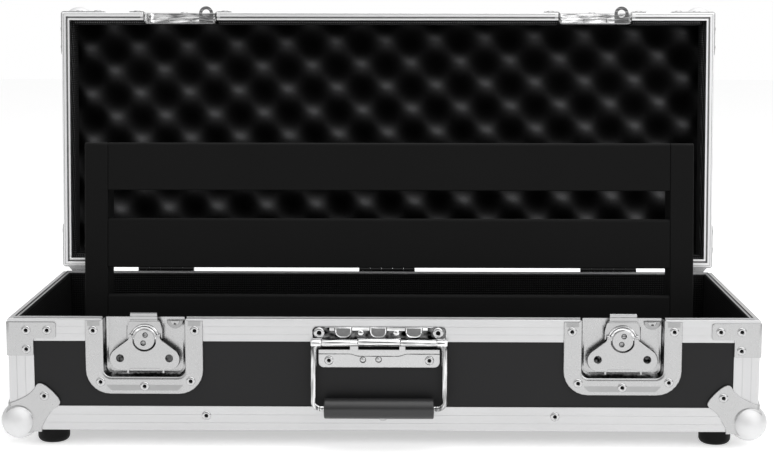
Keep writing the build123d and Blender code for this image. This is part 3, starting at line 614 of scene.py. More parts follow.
base_spots = [
    *wall_spots(BASE, BASE_H, -1, ((17.5, 10.7), (37.0, 10.7), (17.5, 28.5))),
    *wall_spots(BASE, 0, 1, ((33, 33),)),
    *edge_spots(BASE, 0, 1), *leaf_spots(BASE, -1),
    *flange_spots(BASE, BASE_H, -1, ((-47.2, 10.8), (47.2, 10.8), (-41, 59.5), (0, 63.5), (43, 58.6))),
    *[facing(BASE, "front", HANDLE_X + x, BASE_H - 38.3, SHEET) for x in (-46.6, 46.6)],
    *[facing(BASE, "front", HANDLE_X + x, BASE_H - 12.4, SHEET) @ BIGGER for x in (-55.5, 54.6)]]
lid_spots = [
    *wall_spots(LID, LID_RIM, 1, ((17.5, 10.7), (37.0, 10.7))), *wall_spots(LID, LID_TOP, -1, ((33, 33),)),
    *edge_spots(LID, LID_TOP, -1), *leaf_spots(LID, 1),
    *flange_spots(LID, LID_RIM, 1, ((-47.2, 10.8), (47.2, 10.8), (0, 37.5)))]
# The hollow in each head takes the near black as painted shade.
rivet = stamp(turned(HEAD, steps=20, slot=1, within=1.6))
plated("base_rivet_heads", "base", "base_rivets", (domed, hollow), rivet, base_spots)
plated("lid_rivet_heads", "lid", "lid_rivets", (domed, hollow), rivet, lid_spots)

# %% [markdown]
# ## Corner braces
# Each brace is one plate folded round an upright edge of the case. It is drawn flat, cut
# across the fold a few times, and then its points are wrapped round the edge. So the fold
# is a real bend, and it catches a line of light.

# %% Folding a plate
BEND = 1.6
CUTS = 4            # cuts each side of the fold's middle


def folded(mesh):
    """Wrap a flat plate, drawn with the fold at x = 0, round a corner's upright edge."""
    half = BEND * math.pi / 4
    for step in range(-CUTS, CUTS + 1):
        cut(mesh, (half * step / CUTS, 0, 0), (1, 0, 0))
    for vert in mesh.verts:
        along, up, out = vert.co
        turn = (min(max(along / half, -1), 1) + 1) * math.pi / 4
        side, front = math.cos(turn), math.sin(turn)
        x = BEND - side * (BEND + out) + max(along - half, 0)
        y = BEND - front * (BEND + out) + max(-along - half, 0)
        vert.co = (x, y, up)
    return flats(mesh, 0.999)


def both_ways(points):
    """Complete an outline that is symmetrical about the fold."""
    slack = BEND - BEND * math.pi / 4
    right = [(x - slack, y, radius) for x, y, radius in points]
    return right + [(-x, y, radius) for x, y, radius in reversed(right)]


foot = ((24, -35, 1.2), (24, -18.5, 0.6))
arm = ((45, -18.5, 2.5), (45, -3, 2.5))
ear_shape = ((-18, -0.75, 0), (18, -0.75, 0), (13, 5, 1.0), (-15, 5, 1.0))
brace, strap = [stamp(folded(plate_shape(both_ways(outline), SHEET, soften=0.45)))
                for outline in (foot + arm, arm)]
ear = stamp(plate_shape(ear_shape, SHEET, soften=0.2))
plated("base_braces", "base", "base_corner_braces", (plate,), brace, corners(BASE, BASE_H))
plated("lid_braces", "lid", "lid_corner_braces", (plate,), strap, corners(LID, LID_RIM, -1))
plated("lid_stop_ears", "lid", "lid_corner_braces", (plate,), ear,
       [LID @ Matrix.Translation((sign * (CASE_W / 2 - 22), CASE_D / 2 + SHEET, LID_RIM + 3))
        @ Matrix.Diagonal((sign, 1, 1, 1)) for sign in (-1, 1)])

# %% [markdown]
# ## Ball corners
# A ball corner is a pressed cap: a ball over the corner of the case, with a curved lobe
# riveted to each wall. The lobes are one folded plate. The ball is a sphere with the part
# inside the case cut away, and a small rounded ring joins it to each face, mitred where
# two faces meet.

# %% Ball and lobes
BALL_R, BALL_IN = 17.44, 8.0
ROUND_OFF = 3.0
LOBE = ((30, -1.5, 0), (30, 3.2, 0.8), (31.6, 6.2, 1.2), (35.6, 13.6, 3), (39.6, 19.2, 3), (45.6, 22.8, 2.2),
        (48.2, 26.6, 1.8), (46, 31.5, 2.2), (40.5, 37.8, 3), (34.5, 43.0, 2.4), (29.6, 45.4, 2.2),
        (26.2, 44.2, 1.6), (22.9, 38.7, 2.6), (17.2, 33.5, 3), (7, 28.4, 3), (0.4, 26.2, 0))
WEB = ((-1.0, -1.0, 1.5), (28, -1.0, 1), (24, 6, 3), (6, 24, 3), (-1.0, 28, 1))
UNDER = 0.4         # how far inside the case the cut ball closes to a point


def ball_shape():
    mesh = bmesh.new()
    seat = Matrix.Translation((BALL_IN, BALL_IN, BALL_IN))
    bmesh.ops.create_uvsphere(mesh, u_segments=36, v_segments=24, radius=BALL_R, matrix=seat)
    for axis in ((1, 0, 0), (0, 1, 0), (0, 0, 1)):
        cut(mesh, (0, 0, 0), axis)
    inside = [face for face in mesh.faces if min(face.calc_center_median()) > 0]
    bmesh.ops.delete(mesh, geom=inside, context="FACES")
    cone = bmesh.ops.extrude_edge_only(mesh, edges=open_edges(mesh))
    bmesh.ops.pointmerge(mesh, verts=new_verts(cone), merge_co=(UNDER, UNDER, UNDER))
    return in_slot(1, rounded(mesh))


def collar_ring():
    """The rounded joint between ball and plate, about z, with the plate at height 0."""
    depth = BALL_IN + SHEET
    reach = math.sqrt((BALL_R + ROUND_OFF) ** 2 - (depth + ROUND_OFF) ** 2)
    low = math.atan2(depth + ROUND_OFF, reach)
    fillet = []
    for step in range(7):
        angle = math.pi / 2 + (low - math.pi / 2) * step / 6
        fillet.append((reach - ROUND_OFF * math.cos(angle), ROUND_OFF - ROUND_OFF * math.sin(angle) + 0.02))
    end_r, end_z = fillet[-1]
    return turned([*fillet, (end_r - 1.5, end_z - 1.0), (fillet[0][0], -0.8), fillet[0]], steps=48)


def mitred(mesh, place, keep):
    """Put a ring on one face and keep only the part that lies nearest to that face."""
    bmesh.ops.transform(mesh, matrix=place, verts=mesh.verts)
    for other in [axis for axis in range(3) if axis != keep]:
        normal = [0, 0, 0]
        normal[keep], normal[other] = 1, -1
        cut(mesh, (0, 0, 0), normal, clear_outer=True)
        bmesh.ops.holes_fill(mesh, edges=open_edges(mesh), sides=0)
    outward(mesh)
    return mesh


# One frame for each face of the corner, over the ball, with z pointing out of the face.
over_ball = (
    Matrix(((0, 0, -1, -SHEET), (1, 0, 0, BALL_IN), (0, -1, 0, BALL_IN), (0, 0, 0, 1))),
    Matrix(((1, 0, 0, BALL_IN), (0, 0, -1, -SHEET), (0, 1, 0, BALL_IN), (0, 0, 0, 1))),
    Matrix(((1, 0, 0, BALL_IN), (0, -1, 0, BALL_IN), (0, 0, -1, -SHEET), (0, 0, 0, 1))),
)
rings = [mitred(collar_ring(), place, axis) for axis, place in enumerate(over_ball)]
web = plate_shape(WEB, SHEET, soften=0.0, z=-SHEET)
corner_cap = stamp(folded(plate_shape(both_ways(LOBE), SHEET, soften=0.5)), ball_shape(), web, *rings)
plated("base_corner_caps", "base", "base_ball_corners", (plate, satin), corner_cap, corners(BASE, 0))
plated("lid_corner_caps", "lid", "lid_ball_corners", (plate, satin), corner_cap, corners(LID, LID_TOP, -1))

# %% [markdown]
# ## Latch pans
# A recessed latch sits in a pan pressed from one sheet: a flat flange outside, a rolled
# lip, steep walls and a flat bottom. All of these are the same U shape at another size, so
# U-shaped lines are laid at their heights and bridged one to the next. Solidify then gives
# the sheet its thickness. The walls reflect only each other and lie in shade, so a darker
# grey is painted on them as painted shade.

# %% Pan from U-shaped lines
PAN_DEEP, PAN_WIDE = 11.0, 54.75    # the recess's depth; half of the flange's width
ARC_STEPS = 7


def u_line(mesh, half, bottom, radius, top, height):
    points = [(-half, top)]
    for centre, start in ((-half + radius, 180), (half - radius, 270)):
        for step in range(ARC_STEPS + 1):
            turn = math.radians(start + 90 * step / ARC_STEPS)
            points.append((centre + radius * math.cos(turn), -bottom + radius + radius * math.sin(turn)))
    points.append((half, top))
    line = [mesh.verts.new((x, y, height)) for x, y in points]
    return line, [mesh.edges.new(pair) for pair in zip(line, line[1:])]


def pan_shape(flange, flange_r, drop):
    """A pan whose flange and recess reach this far from the rim."""
    mesh = bmesh.new()
    half = PAN_HALF
    rows = (        # half width, reach, corner radius, height of the open end, depth
        (PAN_WIDE, flange, flange_r, -2, 0.7), (PAN_WIDE - 0.4, flange - 0.4, flange_r - 0.4, -2, 1.2),
        (half + 2.6, drop + 2.6, 9.6, -2, 1.2), (half + 1.2, drop + 1.2, 8.2, -1.0, 1.02),
        (half + 0.3, drop + 0.3, 7.3, -0.2, 0.35), (half, drop, 7, -0.1, -0.8),
        (half - 0.9, drop - 0.9, 6.2, -0.1, -PAN_DEEP + 2.0),
        (half - 1.5, drop - 1.5, 5.8, -0.1, -PAN_DEEP + 0.6), (half - 3.2, drop - 3.2, 5.0, -0.1, -PAN_DEEP),
    )
    lines = [u_line(mesh, *row) for row in rows]
    for near, far in zip(lines, lines[1:]):
        bmesh.ops.bridge_loops(mesh, edges=near[1] + far[1])
    mesh.faces.new(lines[-1][0])
    outward(mesh)
    if sum(face.normal.z * face.calc_area() for face in mesh.faces) < 0:
        bmesh.ops.reverse_faces(mesh, faces=mesh.faces)
    # Painted shade: the steep walls take the second, darker finish.
    for face in mesh.faces:
        steep = abs(face.normal.z) < 0.6 and face.calc_center_median().z < 0.3
        face.material_index = 1 if steep else 0
    bmesh.ops.solidify(mesh, geom=mesh.faces[:], thickness=FLANGE)
    outward(mesh)
    for face in mesh.faces:
        face.smooth = abs(face.normal.z) < 0.995
    return mesh


# %% Pans and padlock tabs
RING_X = 28.0               # the padlock's ring and tab stand right of the middle
EYE = ((RING_X, -6.2, 1.1),)
TAB_R = 7.7
half_disc = [(-TAB_R, 0, 0.4), *arc(TAB_R, 195, 360, 15), (TAB_R, 0, 0.4)]
tab = [(x + RING_X, y - 3, radius) for x, y, radius in half_disc]
inner_tab = [(x * 0.55 + RING_X, y * 0.55 - 3.2, 0) for x, y, _ in half_disc]
padlock_tab = stamp(
    in_slot(1, plate_shape(inner_tab, 0.9, holes=EYE, soften=0.35, z=-8.5)),
    plate_shape(tab, 1.6, holes=EYE, soften=0.5, z=-9.9),
    block((RING_X - TAB_R, -4.2, -11.0), (RING_X + TAB_R, -3.0, -8.5)))
ledges = [oblong(-52.6, -41.0, -6.6, -2.2, 0.4, 0.4), oblong(41.0, 52.6, -6.6, -2.2, 0.4, 0.4),
          ((-31, -67.6, 1), (31, -67.6, 1), (36, -62.4, 0.5), (-36, -62.4, 0.5))]
pressed_bands = stamp(*[plate_shape(outline, 0.12, soften=0, z=FLANGE) for outline in ledges])
base_pan = stamp(pan_shape(71.0, 23.0, BASE_PAN))
for side, x in LATCHES.items():
    front = facing(BASE, "front", x, BASE_H)
    node = f"latch_dish_{side}"
    steel(f"latch_pan_{side}", "base", node, (plate, shaded), base_pan, [front])
    steel(f"padlock_tab_{side}", "base", node, (band, pressed), padlock_tab, [front])
    steel(f"pressed_bands_{side}", "base", node, (band,), pressed_bands, [front])

# %% [markdown]
# ## Wing, boss and hook
# The butterfly wing folds flat over the pan and turns the boss. The boss draws the hook
# down. The wing is a plate with a round bite for the boss. The boss is a spun collar round
# a flat disc with two small ringed holes. The hook is one folded strip: a chain of points
# is extruded sideways, slotted for the boss's shaft and given thickness.

# %% Wing
BOSS_DROP = 19.7            # from the rim down to the boss's middle
WING_R, CUP_X, CUP_Y = 1.8, 22.9, -17.8
shoulder = [(14.6, 3, 0.8), (14.6, 0, 1.5), (32.5, -13.4, 5), (32.5, -28.9, 10.0)]
wing_outline = [*shoulder, *[(-x, y, radius) for x, y, radius in reversed(shoulder)],
                (-10.6, 3, 0), *arc(11.3, 196, 345, 8), (10.6, 3, 0)]
# Painted shade: a dark cup behind each of the wing's two holes.
cups = [turned(((3.62, -0.9), (3.5, -1.0), (3.4, -2.1), (0, -2.2)), steps=20, at=(x, CUP_Y, 0), slot=1)
        for x in (-CUP_X, CUP_X)]
# Painted shadow: a slightly larger plate behind the wing, dark on its front and sides, shows as a dark rim
# round the wing.
wing_shadow_rim = plate_shape([(x * 1.018, y * 1.01 + 0.45, radius) for x, y, radius in wing_outline], 0.2,
                        soften=0, z=-2.55)
for face in wing_shadow_rim.faces:
    face.material_index = 0 if face.normal.z < -0.9 else 1
wing = stamp(
    *cups, wing_shadow_rim,
    plate_shape(wing_outline, 1.5, holes=((CUP_X, CUP_Y, 3.6), (-CUP_X, CUP_Y, 3.6)), soften=0.35, z=-2.3),
    plate_shape(oblong(-14, 14, -29.2, -27.2, 0.5, 0.5), 0.45, soften=0.15, z=-0.85),
    *[block((x, -32.0, -3.2), (x + 1.8, -28.6, -1.4)) for x in (-16.6, 16.4)],
    *[rod(x, x + 2.8, 3, -1.55, WING_R) for x in (11.8, -14.6)])

# %% Boss
BOSS = ((0, -2.6), (8.9, -2.6), (8.9, -2.5), (11.5, -2.6), (11.5, -4.1), (5.0, -4.1), (5.0, -12.0),
        (0, -12.0))
RINGLET = ((1.75, -0.25), (1.85, 0.02), (2.3, 0.12), (2.75, -0.02), (2.85, -0.3))
eyes = ((1.0, 4.2), (-1.0, -3.4))
ringlets = []
# Painted shade: the rings round the boss's two holes are dark.
for x, y in eyes:
    ringlets.append(turned(RINGLET, steps=20, at=(x, y, -0.2), slot=1))
    ringlets.append(turned(((1.9, -2.2), (0, -2.2)), steps=16, at=(x, y, 0), slot=2))
# The collar is dark as painted shade, and its upper half is polished bright as a painted highlight.
collar = turned(BOSS, steps=32, slot=1)
for face in collar.faces:
    if face.calc_center_median().y > 0.5:
        face.material_index = 3
disc = plate_shape(arc(9.8, 0, 360, 9), 2.4, holes=[(x, y, 1.8) for x, y in eyes], soften=0.7, z=-2.6)
boss = stamp(disc, collar, rod(-14.5, 14.5, 3, -1.55, WING_R / 2), *ringlets)

# %% Hook
# Each point of the hook's strip is a height, a distance out and half a width.
HOOK = ((-22.0, -4.5, 16.3), (-11.3, -4.5, 16.3), (-5.0, -4.5, 14.6), (-3.4, -4.2, 13.6), (-2.8, -3.4, 13.0),
        (-2.7, -0.8, 12.8), (-2.2, 0.1, 12.8), (-1.4, 0.4, 12.7), (4.6, 0.4, 12.4), (5.3, 0.1, 12.4),
        (5.6, -0.6, 12.4), (5.6, -4.6, 11.4), (5.3, -5.3, 10.9), (4.6, -5.6, 10.4), (3.3, -5.6, 10.2))
SLOT_HALF, SLOT_TOP = 5.5, -11.4


def hook_shape():
    mesh = bmesh.new()
    line = [mesh.verts.new((-half, y, z)) for y, z, half in HOOK]
    edges = [mesh.edges.new(pair) for pair in zip(line, line[1:])]
    for vert in new_verts(bmesh.ops.extrude_edge_only(mesh, edges=edges)):
        vert.co.x = -vert.co.x
    for x in (-SLOT_HALF, SLOT_HALF):
        cut(mesh, (x, 0, 0), (1, 0, 0))
    middles = {face: face.calc_center_median() for face in mesh.faces}
    slot = [face for face, at in middles.items() if abs(at.x) < SLOT_HALF and at.y < SLOT_TOP]
    bmesh.ops.delete(mesh, geom=slot, context="FACES")
    outward(mesh)
    front_face = max(mesh.faces, key=lambda face: face.calc_center_median().z)
    if front_face.normal.z < 0:
        bmesh.ops.reverse_faces(mesh, faces=mesh.faces)
    bmesh.ops.solidify(mesh, geom=mesh.faces[:], thickness=1.2)
    return flats(mesh)


def crescent():
    """The raised lip in the hook's plate, round the upper half of the boss."""
    mesh = bmesh.new()
    start = Matrix.Translation((12.95, 0, -4.2)) @ Matrix.Rotation(math.pi / 2, 4, "X")
    bmesh.ops.create_circle(mesh, segments=12, radius=1.15, matrix=start)
    bmesh.ops.rotate(mesh, verts=mesh.verts, cent=(0, 0, 0), matrix=Matrix.Rotation(math.radians(8), 3, "Z"))
    bmesh.ops.spin(mesh, geom=mesh.verts[:] + mesh.edges[:], axis=(0, 0, 1), cent=(0, 0, 0),
                   angle=math.radians(164), steps=28)
    bmesh.ops.holes_fill(mesh, edges=open_edges(mesh), sides=0)
    bmesh.ops.translate(mesh, vec=(0, -BOSS_DROP, 0), verts=mesh.verts)
    return in_slot(1, rounded(mesh))


# Painted shade: two dark lines at the hook's bends, and dark strips behind its sides as a painted shadow.
hook_shade_lines = [block((-12.5, y - 0.2, 0.1), (12.5, y + 0.2, 0.46), 0.02) for y in (2.5, -0.9)]
hook_shade_lines += [block((x - 0.3, -21.0, -6.0), (x + 0.3, -7.5, -5.2), 0.1) for x in (-16.6, 16.6)]
hook = stamp(hook_shape(), crescent(), *[in_slot(2, line) for line in hook_shade_lines])
for side, x in LATCHES.items():
    axle = facing(BASE, "front", x, BASE_H - BOSS_DROP)
    steel(f"wing_{side}", f"wing_{side}", f"latch_wing_{side}", (plate, cup_shade), wing, [axle])
    steel(f"boss_{side}", f"boss_{side}", f"latch_rotor_{side}", (plate, painted_shade, band, polished), boss,
          [axle])
    steel(f"hook_{side}", f"hook_{side}", f"latch_hook_{side}", (pressed, polished, painted_shade), hook,
          [facing(BASE, "front", x, BASE_H)])

# %% [markdown]
# ## The lid's half of each latch
# The lid carries a shorter pan, with the bar that the hook holds and a ring for a padlock.
# The pan is the same shape with other sizes, turned over because a shut lid has its rim at
# the bottom.

# %% Lid pans
RING_R = 7.5
flip = Matrix.Diagonal((1, -1, 1, 1))
bar = [block((-13, -1.1, -7.5), (13, -0.05, -6), 0.25)]
bar += [block((x - 1, -1.1, -10.9), (x + 1, -0.05, -7), 0.2) for x in (-12, 12)]
lid_bar = stamp(*bar)
arch = [*arc(RING_R, 180, 361, 12), (RING_R, 10, 0), (-RING_R, 10, 0)]
padlock_ring = stamp(plate_shape(arch, SHEET, holes=((0, 0, 4.2),), soften=0.25))
lid_pan = stamp(pan_shape(44.0, 16.0, LID_PAN))
for side, x in LATCHES.items():
    node = f"lid_latch_dish_{side}"
    front = facing(LID, "front", x, LID_RIM) @ flip
    # Painted reflections: the lid pan's walls take the streaky finish.
    steel(f"lid_pan_{side}", "lid", node, (plate, streaky), lid_pan, [front])
    steel(f"hook_bar_{side}", "lid", node, (polished,), lid_bar, [front])
    steel(f"padlock_ring_{side}", "lid", node, (polished,), padlock_ring,
          [LID @ Matrix.Translation((x + RING_X, -CASE_D / 2 + 1, LID_RIM))])

# %% [markdown]
# ## Handle plates
# The handle's bail turns in curled edges of two plates. The upper plate is a shallow
# tray with a bright rim, three half-round pockets and two studs; the sunk middles of the
# tray and the pockets are dark as painted shade. The lower one is flat, with a raised band
# along its top. Painted shade also lies as a dark line along the band's step and as a dark
# ring under each stud, and a black sheet in the slot behind the bail is a painted shadow.

# %% Upper plate
STUD = ((3.4, 0), (3.3, 0.8), (2.6, 1.6), (1.5, 2.1), (0, 2.3))
JAW_Y, JAW_Z, JAW_R = -21.5, 5.6, 3.1       # the bail's line, and the curls round it
POCKET_Y, POCKET_W = -7.3, 7.4
here = [facing(BASE, "front", HANDLE_X, BASE_H)]
# The tray's sunk middle, and the pockets' below, take the dark finish as painted shade.
upper = plate_shape(oblong(-62.3, 62.3, -19.5, -6.7, 1, 4.5), SHEET, soften=0.25, tray=0.9, sink=0.9)
pockets = [plate_shape(oblong(x - POCKET_W, x + POCKET_W, POCKET_Y - 9.4, POCKET_Y, 5.5, 0), 1.1, soften=0.2,
                       z=0.6, tray=0.9, sink=0.5) for x in (-33.2, -0.8, 32.1)]
links = [plate_shape(oblong(x0, x1, -10.3, -7.4, 0.6, 0.4), 1.0, soften=0.2, z=0.6)
         for x0, x1 in ((-25.0, -8.9), (7.3, 24.0), (-46.0, -41.4), (40.3, 45.0))]
studs = [turned(STUD, steps=20, at=(x, -12.6, 0.6)) for x in (-17.0, 15.9)]
curls = [
    *[rod(x0, x1, JAW_Y + 0.3, JAW_Z, JAW_R, 0.8) for x0, x1 in ((-53, -20), (20, 53))],
    rod(-19.6, 19.6, JAW_Y + 1.0, JAW_Z, JAW_R + 0.3, 1.2),
    *[block((x0, -20.4, 0.2), (x1, -18.0, 4.6), 0.5) for x0, x1 in ((-53, -20), (20, 53))],
    *[block((x0, -18.9, 0.8), (x1, -17.3, 2.2), 0.4) for x0, x1 in ((-61.5, -53), (-20, 20), (53, 61.5))]]
steel("handle_tray", "base", "handle_upper_plate", (polished, painted_shade), stamp(upper), here)
steel("handle_pockets", "base", "handle_upper_plate", (polished, recess_shade), stamp(*pockets), here)
steel("handle_links", "base", "handle_upper_plate", (polished,), stamp(*links, *studs, *curls), here)

# %% Lower plate
END_X, STEP_Y = 56.2, -31.9                 # the raised band's end, and its lower edge
dip = [(-26, STEP_Y, 2), (-20, -34.0, 2), (19, -34.0, 2), (25, STEP_Y, 2)]
raised = [(-END_X, STEP_Y, 0.3), *dip, (END_X, STEP_Y, 0.3), (END_X, -28.1, 0.3), (-END_X, -28.1, 0.3)]
step = [(-END_X, STEP_Y, 0), *dip, (END_X, STEP_Y, 0)]
below = [(x, y - 0.75, radius) for x, y, radius in reversed(step)]
# Painted shade: a dark line along the raised band's step.
step_line = plate_shape(step + below, 0.1, soften=0, z=SHEET)
lower = [plate_shape(oblong(-56.4, 56.4, -45, -28, 5, 0.8), SHEET, soften=0.35),
         plate_shape(raised, 0.6, soften=0.25, z=SHEET)]
lower += [block((x0, -29.0, 2.0), (x1, -23.4, 4.4), 0.5) for x0, x1 in ((-27.0, -19.2), (18.7, 24.4))]
# Each stud gets a thin dark ring under it, a painted shadow.
for x, y in ((-15.0, -37.8), (-0.5, -37.6)):
    lower.append(turned([(radius * 0.72, height * 0.55) for radius, height in STUD], 16, (x, y, SHEET)))
    lower.append(turned(((3.1, 0), (3.0, 0.1), (0, 0.1)), 16, (x, y, SHEET), slot=1))
# Painted shadow: a black sheet in the slot behind the bail.
gap = plate_shape(oblong(-52.8, 52.8, -29.0, -21.0, 0.4, 0.4), 0.15, soften=0, z=0.02)
bail_eyes = [rod(x0, x1, JAW_Y, JAW_Z, 3.5, 1.3) for x0, x1 in ((-63.4, -53.2), (53.2, 63.4))]
steel("handle_lower", "base", "handle_lower_plate", (fair, painted_shade), stamp(*lower), here)
steel("handle_slot_shadow", "base", "handle_lower_plate", (hollow,), stamp(gap), here)
steel("handle_step", "base", "handle_lower_plate", (painted_shade,), stamp(step_line), here)
steel("handle_bail_eyes", "handle", None, (polished,), stamp(*bail_eyes), here)

# %% [markdown]
# ## Lines in the lid's rim
# The lid's rim is a hollow profile with a groove for the base's tongue, and hardly any
# light gets into it. A dark strip on its floor is painted shade, and a finer dark line of
# painted shade runs outside it.

# %% Groove floor
BREAK = 43.0        # half of the gap that each latch pan leaves in the lid's rim


def frame_strips(inset, width, depth):
    """Thin bars that follow the lid's rim, between the two latch pans in front."""
    reach_x, reach_y = CASE_W / 2 - inset, CASE_D / 2 - inset
    lengths = ((-reach_x, LEFT - BREAK), (LEFT + BREAK, RIGHT - BREAK), (RIGHT + BREAK, reach_x))
    spans = [(x0, x1, -reach_y, -reach_y + width) for x0, x1 in lengths]
    spans.append((-reach_x, reach_x, reach_y - width, reach_y))
    spans += [(-reach_x, -reach_x + width, -reach_y, reach_y), (reach_x - width, reach_x, -reach_y, reach_y)]
    low = LID_RIM + depth
    return [block((x0, y0, low), (x1, y1, low + 0.3), 0.05) for x0, x1, y0, y1 in spans]


# Painted shade: dark strips in the rim's groove and a fine dark line outside it.
groove_floor, rim_line = stamp(*frame_strips(4.4, 2.0, 1.2)), stamp(*frame_strips(1.5, 0.4, -0.03))
piece("lid_groove_shade", "lid", None, (recess_shade,), groove_floor, [LID])
piece("lid_rim_shade_line", "lid", None, (recess_shade,), rim_line, [LID])

# %% [markdown]
# ## Slatted board
# The board is two deep side rails with three slats let in between them. Its edges are
# eased, so a fine dark seam shows where slat meets rail, and each slat's top edge catches
# a line of light.

# %% Rails and slats
BOARD_W, BOARD_L, BOARD_T, RAIL_W, SLAT_T = CASE_W - 106, CASE_D - 35, 37.0, 22.5, 8.0
BOARD_X, ROLLER_Y, ROLLER_R = 3.8, -28.0, 6.0
SEAM = 0.15
slope = Matrix.Rotation(math.radians(-7), 4, "X")
BOARD = BASE @ Matrix.Translation((BOARD_X, ROLLER_Y, WALL + MAT + 6.32)) @ slope
side_on = Matrix(((0, 0, 1, 0), (1, 0, 0, 0), (0, 1, 0, 0), (0, 0, 0, 1)))
TOP, BACK = BOARD_L - ROLLER_R, ROLLER_R
FACE = BACK - BOARD_T


def eased(outline, start, length, soften):
    """A bar whose outline lies in the yz plane, with both ends eased."""
    mesh = plate_shape(outline, length, soften=0, z=start)
    ends = [edge for edge in mesh.edges if abs(edge.verts[0].co.z - edge.verts[1].co.z) < 0.01
            and edge.calc_face_angle(0) > 1.0]
    soften_edges(mesh, ends, soften)
    return flats(mesh)


between = BOARD_W / 2 - RAIL_W
rear = FACE + SLAT_T
slats = []
for start, end in ((0.0, 46.3), (73.6, 121.6), (147.6, BOARD_L)):
    above, below = TOP - start, TOP - end
    outline = ((FACE, below, 1.2), (rear, below, 0.8), (rear, above, 0.8), (FACE, above, 3.0))
    slats.append(eased(outline, -between + SEAM, 2 * (between - SEAM), 0.8))
rail = ((FACE, -ROLLER_R, 1.0), (BACK, -ROLLER_R, 5.99), (BACK, TOP, 3.0), (FACE, TOP, 3.0))
rails = [eased(rail, start, RAIL_W, 0.9) for start in (-BOARD_W / 2, between)]
upright_board = [BOARD @ side_on]
piece("board_slat_bars", "board", "board_slats", (paint,), stamp(*slats), upright_board)
piece("board_rail_bars", "board", "board_side_rails", (paint,), stamp(*rails), upright_board)

# %% [markdown]
# ## Foam sheet
# The walls and the floor are lined with thin closed-cell foam. Its face is pressed with a
# fine net of diamonds. Two sets of slanting ridges, crossed, make that net. The lid's foam
# strip lies in shade, so it is painted paler as painted light, palest at the front beside
# the latches.

# %% Diamond sheet
DIAMOND = 0.0047


def diamond_sheet(name, colour):
    finish = Finish(name, Roughness=0.8, Specular_IOR_Level=0.12)
    x, y, z = finish.apart(finish.place)
    ridges = []
    for side in (1, -1):
        ridges.append(finish.maths("SINE", (x + y + side * z) * (math.tau / DIAMOND)))
    net = ridges[0] * ridges[1]
    fuzz = finish.noise(finish.place, FUZZ)
    finish.colour(finish.range(net, 0.0, 1.0), *shades(colour, 0.1, 1.9))
    finish.bump(net + fuzz * 0.4, 0.0005, 0.8)
    return finish


lining = diamond_sheet("foam sheet", (0.0095, 0.0095, 0.0098))
# Painted light: the lid's strips are paler than the lining, the front ones most.
strip = diamond_sheet("foam strip", (0.05, 0.05, 0.051))
lit_strip = diamond_sheet("foam strip painted light", (0.13, 0.13, 0.132))


# %% Padded pieces
def padded(name, mesh, finish, body, replaced):
    """A soft piece of the model from its mesh."""
    made = linked(name, mesh, [finish])
    made.data.shade_smooth()
    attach(made, body)
    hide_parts(replaced)


def foam_sheet(name, space, low, high, soften, finish, body, replaced):
    """A foam sheet between two corners, with its edges rounded."""
    mesh = block(low, high, soften)
    mesh.transform(space)
    padded(name, mesh, finish, body, replaced)


# %% [markdown]
# ## Wall lining and floor mat
# The lining is four strips glued to the walls. The front one is notched round the two latch
# pans, so here it is one long low piece and three short ones above it. The mat lies on the
# floor, and the board stands on it. All of it is soft, so each piece gets rounded edges.

# %% Line the base
LINING, GAP = 3.0, 1.5      # the lining's thickness; the gap it leaves round a latch pan
half_w, half_d = CASE_W / 2 - WALL, CASE_D / 2 - WALL
low, high = WALL + MAT, BASE_H - 0.8
notch_low = BASE_H - BASE_PAN - GAP
PAN = PAN_HALF + GAP
runs = [(-half_w, LEFT - PAN), (LEFT + PAN, RIGHT - PAN), (RIGHT + PAN, half_w)]
sheets = [
    ("lining_back", (-half_w, half_d - LINING, low), (half_w, half_d, high)),
    ("lining_left", (-half_w, -half_d + LINING, low), (-half_w + LINING, half_d - LINING, high)),
    ("lining_right", (half_w - LINING, -half_d + LINING, low), (half_w, half_d - LINING, high)),
    ("lining_front_low", (-half_w, -half_d, low), (half_w, -half_d + LINING, notch_low)),
    *[(f"lining_front_{count}", (start, -half_d, notch_low), (end, -half_d + LINING, high))
      for count, (start, end) in enumerate(runs)]]
for name, start, end in sheets:
    foam_sheet(name, BASE, start, end, 0.8, lining, "base", "wall_lining")
foam_sheet("floor_pad", BASE, (-half_w, -half_d, WALL), (half_w, half_d, low), 1.5, lining, "base",
           "floor_mat")

# %% [markdown]
# ## Egg-crate foam
# The lid is filled with convoluted foam: rows of rounded peaks, each row shifted half a
# step from the last. Two waves that cross at a slant add up to that pattern, and because
# one is a little stronger, the peaks are drawn out along it. A grid is made with one
# operator and its points are then pushed down between the peaks.

# %% Convoluted foam
PEAK_X, PEAK_Y = 53.8, 50.6
PEAK_T, VALLEY_T = 28.4, 5.0
STRONG, WEAK = 0.57, 0.43
TURN = math.radians(1.64)       # the sheet lies a little crooked
FIRST_X, FIRST_Y = -325.4, -96.5
foam_back = LID_TOP - WALL


def foam_height(x, y):
    x, y = x - FIRST_X, y - FIRST_Y
    u = x * math.cos(TURN) - y * math.sin(TURN)
    v = x * math.sin(TURN) + y * math.cos(TURN)
    turn_u, turn_v = 2 * math.pi * u / PEAK_X, 2 * math.pi * v / PEAK_Y
    wave = STRONG * math.cos(turn_u - turn_v) + WEAK * math.cos(turn_u + turn_v)
    return VALLEY_T + (PEAK_T - VALLEY_T) * (wave + 1) / 2


